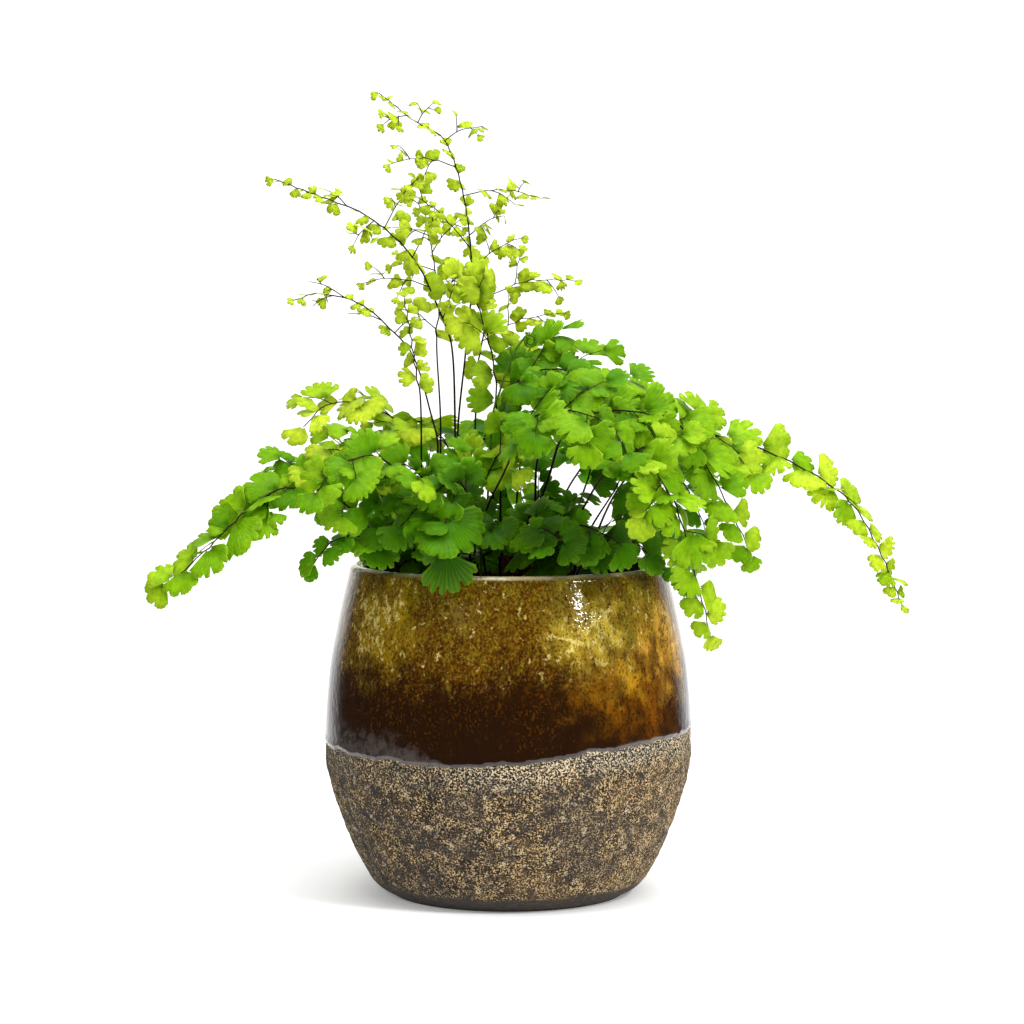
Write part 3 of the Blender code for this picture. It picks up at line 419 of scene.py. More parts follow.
        route=((37, 18), (43, 25, 172), (56, 34, 198), (74, 44, 212), (92, 52, 206), (104, 58, 191)),
        bare=0.56, leaves=(16.3, 12), tones_and_shade=(0.3, 0.55), face=(0.55, 0.2, 0.75), sprays=(0.6, 0.85, 3, 22),
    ),
    "frond_low_back_left": dict(
        route=((-29, 39), (-40, 52, 176), (-52, 74, 194), (-62, 96, 194), (-70, 114, 180), (-74, 124, 163)),
        bare=0.35, leaves=(15.5, 11.2), tones_and_shade=(0.3, 0.55), face=(-0.3, 0.6, 0.7), sprays=(0.45, 0.7, 2, 20),
    ),
    "frond_low_back_right": dict(
        route=((32, 28), (40, 36, 163), (54, 48, 171), (70, 62, 173), (84, 76, 168), (93, 84, 156)),
        bare=0.35, leaves=(15.5, 11.2), tones_and_shade=(0.3, 0.55), face=(0.5, 0.45, 0.7), sprays=(0.45, 0.7, 2, 18),
    ),
    "frond_back_upright_right": dict(
        route=((3, 30), (4, 37, 190), (8, 48, 220), (18, 62, 238), (32, 76, 240), (46, 88, 230)),
        bare=0.5, leaves=(15.5, 11.2), tones_and_shade=(0.4, 0.55), face=(0.25, 0.5, 0.8), sprays=(0.55, 0.8, 3, 24),
    ),
    "frond_back_upright_left": dict(
        route=((-21, 35), (-23, 45, 188), (-30, 58, 215), (-44, 74, 228), (-60, 88, 224), (-72, 98, 211)),
        bare=0.45, leaves=(15.5, 11.2), tones_and_shade=(0.65, 0.85), face=(-0.25, 0.5, 0.8), sprays=(0.52, 0.8, 3, 24),
    ),
    "frond_inner_left": dict(
        route=((-30, -14), (-31, -16, 165), (-33, -20, 182), (-38, -28, 200), (-46, -38, 211),
               (-56, -48, 213)),
        bare=0.4, leaves=(15.5, 12.9), tones_and_shade=(0.26, 0.42), face=(-0.15, -0.75, 0.6),
        sprays=(0.5, 0.82, 3, 24),
    ),
    "frond_inner_centre": dict(
        route=((-18, -32), (-18, -34, 165), (-20, -40, 185), (-20, -49, 200), (-25, -60, 206),
               (-33, -68, 202)),
        bare=0.42, leaves=(16.3, 12.9), tones_and_shade=(0.16, 0.3), face=(-0.05, -0.8, 0.55),
        sprays=(0.5, 0.82, 3, 24),
    ),
    "frond_mid_centre": dict(
        route=((-16, -14), (-16, -14, 178), (-12, -20, 202), (-4, -29, 217), (5, -37, 220)),
        bare=0.55, leaves=(14.6, 11.2), tones_and_shade=(0.5, 0.7), face=(0.05, -0.75, 0.6), sprays=(0.58, 0.85, 3, 24),
    ),
    "frond_low_centre": dict(
        route=((14, -24), (15, -28, 160), (20, -40, 171), (30, -52, 177), (41, -63, 173)),
        bare=0.34, leaves=(16.3, 13.8), tones_and_shade=(0.04, 0.12), face=(0.1, -0.85, 0.5), sprays=(0.45, 0.8, 2, 20),
    ),
    "frond_low_right": dict(
        route=((30, -16), (34, -20, 160), (44, -30, 173), (56, -40, 178), (66, -48, 171)),
        bare=0.34, leaves=(15.5, 12.9), tones_and_shade=(0.05, 0.13), face=(0.2, -0.8, 0.55), sprays=(0.45, 0.8, 2, 20),
    ),
    "frond_low_front_left": dict(
        route=((-33, -30), (-36, -34, 165), (-42, -46, 180), (-50, -58, 188), (-60, -68, 184)),
        bare=0.36, leaves=(15.5, 12.9), tones_and_shade=(0.2, 0.32), face=(-0.2, -0.8, 0.55), sprays=(0.45, 0.8, 2, 20),
    ),
    "frond_low_middle": dict(
        route=((-4, -16), (-4, -18, 160), (-4, -28, 176), (-6, -42, 186), (-8, -56, 182)),
        bare=0.34, leaves=(15.5, 12.9), tones_and_shade=(0.05, 0.12), face=(0, -0.85, 0.5), sprays=(0.42, 0.8, 3, 20),
        shoots=((0.2, (-24, -5, 7)), (0.2, (20, -3, 8))),
    ),
    "frond_behind_stalks": dict(
        route=((6, 10), (7, 11, 165), (10, 8, 184), (15, 2, 194), (22, -6, 194)),
        bare=0.4, leaves=(15.5, 12), tones_and_shade=(0.2, 0.32), face=(0.1, -0.75, 0.6), sprays=(0.45, 0.8, 3, 20),
        shoots=((0.2, (-26, 5, 4)), (0.2, (18, 4, 6))),
    ),
    "frond_inside_rim_left": dict(
        route=((-38, -8), (-41, -12, 161), (-49, -22, 171), (-57, -33, 176), (-63, -43, 172)),
        bare=0.3, leaves=(13.8, 11.2), tones_and_shade=(0.1, 0.2), face=(-0.2, -0.85, 0.5), sprays=(0.42, 0.8, 2, 18),
    ),
}
# Each crozier: its route in mm up to the curl, the curl's radius in mm and the way it turns.
CROZIERS = {
    "crozier_tall": (
        ((-11, -6), (-11, -8, 170), (-8, -16, 230), (-4, -18, 247), (2, -18, 264), (8, -18, 273)), 3, 1,
    ),
    "crozier_short": (((-13, -38), (-13, -42, 170), (-14, -47, 181)), 2.8, -1),
}


class Stalk:
    """A rachis or side shoot of a frond's plan: a smooth line, its upper side's way, and what it carries."""

    def __init__(self, route, face, plan, bare=0.0):
        self.points = through(route)
        self.plan = plan
        self.face = face.normalized()
        self.marks = [0.0]
        for a, b in zip(self.points, self.points[1:]):
            self.marks.append(self.marks[-1] + (b - a).length)
        self.length = self.marks[-1]
        self.buds = []  # (distance along the stalk, side, leaf or stalk)
        leafy_way = self.points[-1] - self.at(bare * self.length)[0]
        self.side = leafy_way.cross(face).normalized()

    def at(self, distance):
        """The point and the heading at a distance along the stalk."""
        k = bisect.bisect_left(self.marks, distance, 1, len(self.marks) - 1) - 1
        a, b = self.points[k], self.points[k + 1]
        share = (distance - self.marks[k]) / (self.marks[k + 1] - self.marks[k])
        return a.lerp(b, share), (b - a).normalized()

    def across(self, heading):
        """The way that the plus side points where the stalk has this heading."""
        return (self.side - heading * self.side.dot(heading)).normalized()

    def free_at(self, distance, room=NODE_ROOM):
        return all(abs(distance - bud[0]) > room for bud in self.buds)

    def shoots(self):
        return [bud for bud in self.buds if isinstance(bud[2], Stalk)]


class Leaf:
    """A fan of a given length from its root, pointing along its axis, with its upper side facing up."""

    def __init__(self, root, axis, face, size):
        self.root = root
        self.axis = axis.normalized()
        self.side = self.axis.cross(face).normalized()
        self.size = size

    def samples(self):
        """Points all over the fan, about LEAF_SAMPLE apart, as rows of numbers."""
        rows = max(2, round(self.size / LEAF_SAMPLE))
        found = []
        for row in range(1, rows + 1):
            steps = max(2, round(2 * LEAF_SPREAD * self.size * row / rows / LEAF_SAMPLE))
            angles = np.linspace(-LEAF_SPREAD, LEAF_SPREAD, steps + 1)
            reach = self.size * row / rows * (1 - (1 - LEAF_SHOULDER) * (angles / LEAF_SPREAD) ** 2)
            ahead = np.outer(reach * np.cos(angles), self.axis)
            found.append(ahead + np.outer(reach * np.sin(angles), self.side))
        return np.concatenate(found) + np.array(self.root)


def through(points, step=0.002):
    """A smooth line through the points, by Catmull and Rom."""
    ends = [points[0] * 2 - points[1], *points, points[-1] * 2 - points[-2]]
    line = [points[0]]
    for a, b, c, d in zip(ends, ends[1:], ends[2:], ends[3:]):
        count = max(1, round((c - b).length / step))
        for k in range(1, count + 1):
            t = k / count
            bend = (c - a) * t + (2 * a - 5 * b + 4 * c - d) * t**2 + (3 * b - a - 3 * c + d) * t**3
            line.append(b + bend / 2)
    return line


def crown_top(x, y):
    """Height of the rhizome's upper side, or of the soil beyond it."""
    share = math.hypot(x - CROWN_MIDDLE.x, y - CROWN_MIDDLE.y) / CROWN_RADIUS
    return SOIL_TOP + CROWN_HEIGHT * max(0, 1 - share**4)


def rooted(route):
    """A route in metres, which starts just inside the rhizome at its first point."""
    x, y = route[0][0] * MM, route[0][1] * MM
    return [Vector((x, y, crown_top(x, y) - 0.001)), *(Vector(point) * MM for point in route[1:])]


def crozier_line(route, radius, way):
    """A young stalk's route, which ends in a flat spiral."""
    line = through(rooted(route), LINE_STEP)
    heading = (line[-1] - line[-2]).normalized()
    inward = heading.cross(Vector((0, -way, 0))).normalized()
    middle = line[-1] + inward * radius * MM
    for k in range(1, CURL_STEPS + 1):
        angle = math.tau * CURL_TURNS * k / CURL_STEPS
        reach = radius * MM * (1 - CURL_SHRINK * k / CURL_STEPS)
        line.append(middle + heading * (math.sin(angle) * reach) - inward * (math.cos(angle) * reach))
    return line


def regular_shoots(stalk, first, last, count, reach):
    """Side shoots at even steps, on alternate sides, shorter towards the tip."""
    for k in range(count):
        share = k / max(1, count - 1)
        where = first + (last - first) * share
        heading = stalk.at(where * stalk.length)[1]
        side = 1 if k % 2 else -1
        along, out, up = SHOOT_WAY
        way = heading * along + stalk.across(heading) * side * out + UP * up
        yield where, side, way.normalized() * reach * (1 - SHOOT_TAPER * share)


def add_shoot(stalk, where, side, way):
    """A side shoot that leaves the stalk at a share of its length, rises a little and bends over."""
    distance = where * stalk.length
    while not stalk.free_at(distance, SHOOT_ROOM):
        distance += SHOOT_ROOM / 8
    if distance > stalk.length:
        return
    root, heading = stalk.at(distance)
    lift = UP * SHOOT_LIFT * way.length
    shoot = Stalk([root, root + way / 2 + lift, root + way], stalk.across(heading).cross(heading), stalk.plan)
    shoot.face = stalk.face  # so that its leaflets face the way of the frond's others
    stalk.buds.append((distance, side, shoot))


def grow(plan):
    """The frond's main stalk, with its side shoots, and twigs on those of an airy frond."""
    stalk = Stalk(rooted(plan["route"]), Vector(plan["face"]), plan, plan["bare"])
    for where, way in plan.get("shoots", ()):
        heading = stalk.at(where * stalk.length)[1]
        side = 1 if stalk.across(heading).dot(Vector(way)) > 0 else -1
        add_shoot(stalk, where, side, Vector(way) * MM)
    if "sprays" in plan:
        *places, reach = plan["sprays"]
        for where, side, way in regular_shoots(stalk, *places, reach * MM):
            add_shoot(stalk, where, side, way)
    if plan.get("airy"):
        for _, _, shoot in stalk.shoots():
            for where, side, way in regular_shoots(shoot, *TWIGS, shoot.length * TWIG_LENGTH):
                add_shoot(shoot, where, side, way)
    return stalk


def all_stalks(stalk):
    """The stalk and all that branch from it, the finest first."""
    for _, _, shoot in stalk.shoots():
        yield from all_stalks(shoot)
    yield stalk


class Garden:
    """What stands already, so that each new leaflet can keep clear of it."""

    def __init__(self, stalks):
        lines = [(point, stalk) for stalk in stalks for point in stalk.points]
        self.owners = [stalk for _, stalk in lines]
        self.lines = kdtree.KDTree(len(lines))
        for index, (point, _) in enumerate(lines):
            self.lines.insert(point, index)
        self.lines.balance()
        self.leaves = []

    def has_room(self, leaf, stalk):
        cloud = leaf.samples()
        if not clear_of_planter(cloud):
            return False
        middle = leaf.root + leaf.axis * leaf.size / 2
        for other_middle, other_size, other_cloud in self.leaves:
            if (other_middle - middle).length < NEAR * (leaf.size + other_size):
                apart = cloud[:, None] - other_cloud[None]
                if (apart**2).sum(axis=2).min() < LEAF_CLEARANCE**2:
                    return False
        for point in cloud:
            for place, index, _ in self.lines.find_range(point, STALK_CLEARANCE):
                own = self.owners[index] is stalk
                same = self.owners[index].plan is stalk.plan
                if (place - leaf.root).length > (OWN_STALK_SPAN if own else FORK_SPAN if same else 0):
                    return False
        self.leaves.append((middle, leaf.size, cloud))
        return True


def outer_radius(height):
    return np.interp(height, [z * MM for _, z in POT_OUTLINE], [r * MM for r, _ in POT_OUTLINE])


def clear_of_planter(cloud):
    """True if all points are off the planter's wall and above the soil and the rhizome."""
    radius = np.hypot(cloud[:, 0], cloud[:, 1])
    outside = outer_radius(cloud[:, 2])
    over_wall = radius > outside - POT_WALL - PLANTER_CLEARANCE
    rim_top = POT_OUTLINE[-1][1] * MM + RIM_ROUND + PLANTER_CLEARANCE
    floor = np.where(over_wall, rim_top, SOIL_TOP + CROWN_HEIGHT + PLANTER_CLEARANCE)
    return bool(((radius > outside + PLANTER_CLEARANCE) | (cloud[:, 2] > floor)).all())


def turned(way, axis, angle):
    return Quaternion(axis, math.radians(angle)) @ way


def find_leaf(garden, stalk, distance, side, size, dice):
    """A leaflet that has room at this place, tried at a few turns and sizes, or None."""
    root, heading = stalk.at(distance)
    upright = stalk.across(heading).cross(heading)
    face = upright.lerp(stalk.face, LEAF_FACING).normalized()
    sag = heading.cross(UP * -stalk.plan.get("droop", LEAF_DROOP)).cross(heading)
    lean = dice.uniform(*LEAF_LEAN) if side else 0
    loose = AIRY_ROLL if stalk.plan.get("airy") else LEAF_ROLL
    roll, pitch = dice.uniform(-loose, loose), dice.uniform(-loose, loose)
    for more_roll, more_pitch, shrink in LEAF_TRIES:
        axis = turned(heading, upright, -side * lean) + sag
        axis -= face * axis.dot(face)
        axis = turned(axis, axis.cross(face).normalized(), pitch + more_pitch)
        leaf = Leaf(root, axis, turned(face, axis.normalized(), roll + more_roll), size * shrink)
        if leaf.size > SMALLEST_LEAF and garden.has_room(leaf, stalk):
            return leaf
    return None


def size_at(share, sizes):
    """The size at a share of the leafy length, from sizes that are evenly spread along it."""
    return float(np.interp(share, np.linspace(0, 1, len(sizes)), sizes))


def set_leaves(garden, stalk, bare, sizes, dice):
    """Leaflets on alternate sides, from the end of the bare part to the tip, and one at the tip."""
    start = bare * stalk.length
    tip = find_leaf(garden, stalk, stalk.length, 0, sizes[-1], dice)
    if tip:
        stalk.buds.append((stalk.length, 0, tip))
    distance, side = start, 1
    while distance < stalk.length - NODE_ROOM:
        share = (distance - start) / (stalk.length - start)
        size = size_at(share, sizes) * dice.uniform(*LEAF_VARIETY)
        leaf = stalk.free_at(distance) and find_leaf(garden, stalk, distance, side, size, dice)
        if leaf:
            stalk.buds.append((distance, side, leaf))
        distance += size * (AIRY_SPACING if stalk.plan.get("airy") else LEAF_SPACING)
        side = -side


def fill_gaps(garden, stalk, bare, sizes, dice):
    """Small leaflets wherever a stalk still has room for one."""
    start = bare * stalk.length
    distance = start + FILL_STEP / 2
    while distance < stalk.length - NODE_ROOM:
        share = (distance - start) / (stalk.length - start)
        usual = size_at(share, sizes)
        for side in (1, -1):
            if stalk.free_at(distance):
                leaf = find_leaf(garden, stalk, distance, side, usual * dice.uniform(*FILL_SIZES), dice)
                if leaf:
                    stalk.buds.append((distance, side, leaf))
        distance += FILL_STEP


def grow_fern():
    """Every frond's main stalk by name, with its side shoots and all leaflets in place."""
    stalks = {name: grow(plan) for name, plan in FRONDS.items()}
    croziers = [Stalk(crozier_line(*crozier), UP, {}) for crozier in CROZIERS.values()]
    garden = Garden([part for stalk in stalks.values() for part in all_stalks(stalk)] + croziers)
    for work in (set_leaves, fill_gaps):
        for name, plan in FRONDS.items():
            airy = plan.get("airy")
            if airy and work is fill_gaps:
                continue
            dice = random.Random(name + work.__name__)
            sizes = [size * MM for size in plan["leaves"]]
            on_shoots = [sizes[0] * share for share in (AIRY_SHOOT_LEAVES if airy else SHOOT_LEAVES)]
            for part in all_stalks(stalks[name]):
                main = part is stalks[name]
                work(garden, part, plan["bare"] if main else SHOOT_BARE, sizes if main else on_shoots, dice)
    return stalks


def margin(dice, columns, lobes):
    """A leaflet's columns, from -1 to 1 across it, and how far out its scalloped margin is at each."""
    across = np.linspace(-1, 1, columns + 1)
    edge = 1 - SIDE_FALL * abs(across) ** 2.2 - CORNER_FALL * abs(across) ** 12
    cuts = [-1, *(2 * k / lobes - 1 + dice.uniform(-0.5, 0.5) / lobes for k in range(1, lobes)), 1]
    cuts = [round(cut * columns / 2) * 2 / columns for cut in cuts]
    for low, high in zip(cuts, cuts[1:]):
        inside = (across > low) & (across < high)
        edge[inside] -= LOBE_FALL * ((2 * across[inside] - low - high) / (high - low)) ** 2
    for cut in cuts[1:-1]:
        depth = dice.uniform(*CLEFT_DEPTH) + (DEEP_CLEFT if dice.random() < 0.25 else 0)
        edge -= depth * np.clip(1 - abs(across - cut) / CLEFT_HALF, 0, 1)
    edge[1::2] -= TOOTH
    return across, edge * (1 + dice.uniform(-SKEW, SKEW) * across)


def add_blade(bm, dice, leaf, tone):
    """A leaflet: a grid that is bent into a fan, narrow at the root."""
    columns, rows, lobes, spread = next(form[1:] for form in LEAF_FORMS if leaf.size > form[0])
    verts = bmesh.ops.create_grid(bm, x_segments=columns, y_segments=rows, size=1)["verts"]
    across, out = np.array([vert.co.xy for vert in verts]).T
    out = STALKLET + (1 - STALKLET) * (0.51 + 0.49 * out) ** 0.85
    reach = out * np.interp(across, *margin(dice, columns, dice.randint(*lobes)))
    angle = across + dice.uniform(-BLADE_TWIST, BLADE_TWIST) * out
    angle *= math.radians(spread) * dice.uniform(*BLADE_OPENING)
    droop, cup = dice.uniform(*BLADE_DROOP), dice.uniform(*BLADE_CUP)
    height = cup * angle**2 * reach - droop * reach**2
    for waves, depth in (RUFFLE, (columns / FINE_RUFFLE[0], FINE_RUFFLE[1])):
        height += dice.uniform(0.2, 1) * depth * np.sin(waves * across + dice.uniform(0, math.tau)) * reach
    ways = (leaf.axis, leaf.side, leaf.side.cross(leaf.axis))
    flat = (reach * np.cos(angle), reach * np.sin(angle), height)
    points = sum(np.outer(part, way) for part, way in zip(flat, ways)) * leaf.size + np.array(leaf.root)
    layers = [bm.verts.layers.float[name] for name in BLADE_FACTS]
    edge = np.maximum(out, across**2)
    for vert, point, *facts in zip(verts, points, np.full(len(verts), tone), across, reach, edge):
        vert.co = point
        for layer, fact in zip(layers, facts):
            vert[layer] = fact


def make_blades(name, leaves, material, dice):
    """A frond's leaflets as one thin piece. Its points know their leaflet's tone and their place on it."""
    bm = bmesh.new()
    for fact in BLADE_FACTS:
        bm.verts.layers.float.new(fact)
    for leaf, tone in leaves:
        add_blade(bm, dice, leaf, tone + dice.uniform(-TONE_VARIETY, TONE_VARIETY))
    piece = place(name + "_leaflets", to_mesh(name + "_leaflets", bm), material, "fern", name)
    thick = piece.modifiers.new("thickness", "SOLIDIFY")
    thick.thickness = SHEET
    thick.offset = 0


def leaves_of(stalk, tones_and_shade, start=0.0, reach=1.0):
    """Each leaflet on a stalk and its shoots, with its tone: from the frond's base tone to its tip tone."""
    for distance, _, growth in stalk.buds:
        share = start + (reach - start) * distance / stalk.length
        if isinstance(growth, Leaf):
            # A frond's tones are partly age and partly painted shade and light.
            yield growth, tones_and_shade[0] + (tones_and_shade[1] - tones_and_shade[0]) * share
        else:
            yield from leaves_of(growth, tones_and_shade, share, min(1, share + 0.2))


def swing(stalk, distance, side):
    """A point of a stalk, moved towards what grows there."""
    point, heading = stalk.at(distance)
    return point + stalk.across(heading) * side * min(ZIGZAG, stalk.length / 60)


def add_line(curve, points, radii):
    """A spline through points whose radius goes from one value to another."""
    spline = curve.splines.new("POLY")
    spline.points.add(len(points) - 1)
    for k, point in enumerate(points):
        spline.points[k].co = (*point, 1)
        spline.points[k].radius = radii[0] + (radii[1] - radii[0]) * k / (len(points) - 1)


def add_stalk(curve, stalk, radii, step):
    """A stalk that zigzags from node to node, its shoots, and the hair-thin stalklets of its leaflets."""
    nodes = {0.0: 0, stalk.length: 0}
    nodes.update({distance: side for distance, side, _ in stalk.buds if distance < stalk.length})
    places = sorted(nodes)
    points = []
    for a, b in zip(places, places[1:]):
        start, end = swing(stalk, a, nodes[a]), swing(stalk, b, nodes[b])
        count = max(1, round((b - a) / step))
        for k in range(count):
            share = k / count
            offset = (start - stalk.at(a)[0]).lerp(end - stalk.at(b)[0], share)
            points.append(stalk.at(a + (b - a) * share)[0] + offset)
    points.append(stalk.points[-1])
    add_line(curve, points, radii)
    for distance, side, growth in stalk.buds:
        if isinstance(growth, Stalk):
            add_stalk(curve, growth, SHOOT_RADIUS, step / 2)
        else:
            foot = swing(stalk, distance, side) if side else growth.root
            blade = growth.root + growth.axis * growth.size * (STALKLET + 0.06)
            add_line(curve, [foot, foot.lerp(blade, 0.5), blade], (HAIR_RADIUS * 1.3, HAIR_RADIUS))


def new_curve(name):
    """An empty curve of round section, whose splines' radii are in metres."""
    curve = bpy.data.curves.new(name, "CURVE")
    curve.dimensions = "3D"
    curve.bevel_depth = 1
    curve.bevel_resolution = 1
    curve.use_fill_caps = True
    return curve


def place(name, data, material, slot, *nodes):
    """An object of the part, which stands for CAD nodes, if it names any."""
    data.materials.append(material)
    piece = bpy.data.objects.new(name, data)
    bpy.context.scene.collection.objects.link(piece)
    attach(piece, "root")
    if nodes:
        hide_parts(*nodes)
    return piece


def spun(profile, columns):
    """A surface turned about Z from a profile of (radius, height), as a bmesh."""
    bm = bmesh.new()
    verts = [bm.verts.new((radius, 0, height)) for radius, height in profile]
    edges = [bm.edges.new(pair) for pair in zip(verts, verts[1:])]
    bmesh.ops.spin(
        bm, geom=verts + edges, cent=(0, 0, 0), axis=(0, 0, 1), steps=columns, angle=math.tau, use_merge=True,
    )
    bmesh.ops.remove_doubles(bm, verts=bm.verts, dist=1e-6)
    bmesh.ops.recalc_face_normals(bm, faces=bm.faces)
    return bm


def to_mesh(name, bm):
    """A smooth mesh of the bmesh, which is freed."""
    mesh = bpy.data.meshes.new(name)
    bm.to_mesh(mesh)
    bm.free()
    mesh.shade_smooth()
    return mesh


def evenly(profile, step):
    """The profile's line with a point about every step."""
    line = [profile[0]]
    for a, b in zip(profile, profile[1:]):
        count = max(1, round(math.dist(a, b) / step))
        for k in range(1, count + 1):
            line.append(tuple(p + (q - p) * k / count for p, q in zip(a, b)))
    return line


def pot_profile():
    """From the middle of the inside floor, up the inside, over the rim and down the outside."""
    outside = through([Vector((r * MM, 0, z * MM)) for r, z in POT_OUTLINE], POT_STEP)
    top = outside[-1]
    inner = [(point.x - POT_WALL, point.z) for point in outside[::3] if point.z > POT_FLOOR + INSIDE_START]
    inner.append((top.x - POT_WALL, top.z))
    half = POT_WALL / 2
    rim = []
    for angle in np.linspace(0, math.pi, RIM_STEPS + 1)[1:-1]:
        rim.append((top.x - half - half * math.cos(angle), top.z + RIM_ROUND * math.sin(angle)))
    corner = [(inner[0][0] - inset, POT_FLOOR + rise) for inset, rise in INSIDE_CORNER]
    down = [(point.x, point.z) for point in reversed(outside)]
    edge, lift = FOOT_HOLLOW
    below = evenly([(down[-1][0] - edge, lift), (0, lift)], 0.01)
    return [(0, POT_FLOOR), *corner, *inner, *rim, *down, *below]


def smoothed(value, low, high):
    """0 where the value is low, 1 where it's high, and a smooth way between."""
    share = np.clip((value - low) / (high - low), 0, 1)
    return share * share * (3 - 2 * share)


def lumps(point, width, shift=0.0):
    """Smooth noise from -1 to 1, whose lumps are about this wide."""
    return noise.noise(Vector(point) / width + Vector((shift, shift, shift)))


def relief(point, kinds):
    """The height of several kinds of lumps together."""
    return sum(lumps(point, width, shift) * height for width, height, shift in kinds)


def glaze_edge(x, y):
    """Height of the glaze's wavy lower edge at the angle of a point round the planter."""
    angle = math.degrees(math.atan2(x, -y))
    low = np.interp(angle, *zip(*GLAZE_EDGE))
    return low * MM + relief(Vector((x, y, 0)).normalized() * POT_BELLY, EDGE_WAVES)


def weather_pot(bm):
    """Thickens the glaze, roughens the coat and returns each point's height over the glaze's edge."""
    over = []
    middle, width, thick = GLAZE_BEAD
    for vert in bm.verts:
        x, y, z = vert.co
        inner_half = math.hypot(x, y) < outer_radius(min(z, RIM_START)) - POT_WALL * 0.6
        if inner_half or z < 1.5 * FOOT_HOLLOW[1]:
            over.append(ALL_GLAZED)
            continue
        above = z - glaze_edge(x, y)
        over.append(above)
        glazed = smoothed(above, 0, GLAZE_STEP)
        bead = math.exp(-(((above - middle) / width) ** 2)) * thick
        smooth = GLAZE_THICK + relief(vert.co, GLAZE_LUMPS) + bead
        rough = relief(vert.co, COAT_LUMPS) * smoothed(z, FOOT_RING, FOOT_RING + 0.004)
        vert.co += Vector((x, y, 0)).normalized() * (glazed * smooth + (1 - glazed) * rough - SKIN_DEPTH)
    return over


def make_planter(material):
    """The turned vessel, whose points know their height over the glaze's edge."""
    bm = spun(pot_profile(), POT_COLUMNS)
    over = weather_pot(bm)
    mesh = to_mesh("glazed_planter", bm)
    mesh.attributes.new("over_edge", "FLOAT", "POINT").data.foreach_set("value", over)
    place("glazed_planter", mesh, material, "glazed_stoneware", "planter")


def make_soil(material):
    """The soil's lumpy top, which dips at the wall, and its hidden lower side."""
    wall = float(outer_radius(SOIL_EDGE)) - POT_WALL - 0.0004
    top = evenly([(0, SOIL_TOP), (SOIL_LEVEL_RADIUS, SOIL_TOP), (wall, SOIL_EDGE)], SOIL_STEP)
    below = [(wall - 0.001, SOIL_EDGE - SOIL_SHELL), (0, SOIL_EDGE - SOIL_SHELL)]
    bm = spun(top + below, SOIL_COLUMNS)
    for vert in bm.verts:
        if vert.co.z > SOIL_EDGE - 0.001 and vert.co.xy.length < wall - 0.0006:
            wave, clod = lumps(vert.co, SOIL_WAVES[0]), abs(lumps(vert.co, SOIL_CLODS[0], 4))
            vert.co.z += wave * SOIL_WAVES[1] + clod * SOIL_CLODS[1] - 0.0008
    place("soil_surface", to_mesh("soil_surface", bm), material, "potting_soil", "potting_soil")


def make_crumbs(material):
    """Loose crumbs of bark, peat and perlite on the soil and against the rhizome."""
    dice = random.Random(11)
    bm = bmesh.new()
    tone = bm.verts.layers.float.new("tone")
    for _ in range(CRUMBS):
        angle, radius = dice.uniform(0, math.tau), CRUMB_FIELD * math.sqrt(dice.random())
        x, y = radius * math.cos(angle), radius * math.sin(angle)
        size = CRUMB_SIZE[0] + CRUMB_SIZE[1] * dice.random() ** 3
        dip = smoothed(radius, 0.062, 0.076) * (SOIL_TOP - SOIL_EDGE)
        middle = Vector((x, y, crown_top(x, y) + size * 0.2 - 0.0004 - dip))
        stretch = Vector([dice.uniform(*sizes) for sizes in CRUMB_STRETCH])
        axis = Vector([dice.gauss(0, 1) for _ in range(3)]).normalized()
        turn = Quaternion(axis, dice.uniform(0, 3))
        shade = dice.random()
        for vert in bmesh.ops.create_icosphere(bm, subdivisions=1, radius=size)["verts"]:
            vert.co = middle + turn @ (vert.co * stretch * dice.uniform(0.8, 1.15))
            vert[tone] = shade
    place("soil_crumbs", to_mesh("soil_crumbs", bm), material, "potting_soil")


def make_rhizome(material):
    """The creeping rootstock: a knobbly mound."""
    bm = spun([(0, 1), *((math.sin(a), math.cos(a)) for a in np.linspace(0.03, math.pi / 2, 34))], 150)
    for vert in bm.verts:
        flat = min(1, vert.co.xy.length)
        spot = CROWN_MIDDLE + Vector((vert.co.x, vert.co.y, 0)) * CROWN_RADIUS
        rise = CROWN_HEIGHT * (1 - flat**4)
        knobs = (0.6 + lumps(spot, 0.012) + 0.5 * lumps(spot, 0.005, 2)) * KNOBS * (1 - flat**6)
        vert.co = Vector((spot.x, spot.y, SOIL_TOP + rise + knobs - 0.0012))
    place("knobbly_rhizome", to_mesh("knobbly_rhizome", bm), material, "rhizome", "rhizome")


def make_scales(material):
    """Narrow brown scales that stand on the rhizome."""
    dice = random.Random(5)
    bm = bmesh.new()
    for _ in range(SCALES):
        angle, share = dice.uniform(0, math.tau), math.sqrt(dice.random()) * 0.9
        spot = CROWN_MIDDLE + Vector((math.cos(angle), math.sin(angle), 0)) * share * CROWN_RADIUS
        spot.z = crown_top(spot.x, spot.y) - 0.001
        way = Vector((dice.uniform(-1, 1), dice.uniform(-1, 1), dice.uniform(0.3, 1))).normalized()
        length = dice.uniform(*SCALE_LENGTH)
        flat = Matrix.Translation(spot + way * length / 2) @ way.to_track_quat("Z", "Y").to_matrix().to_4x4()
        flat @= Matrix.Diagonal((1, SCALE_FLATNESS, 1, 1))
        foot, tip = SCALE_RADII
        bmesh.ops.create_cone(
            bm, cap_ends=True, segments=6, radius1=foot, radius2=tip, depth=length, matrix=flat,
        )
    place("rhizome_scales", to_mesh("rhizome_scales", bm), material, "rhizome")


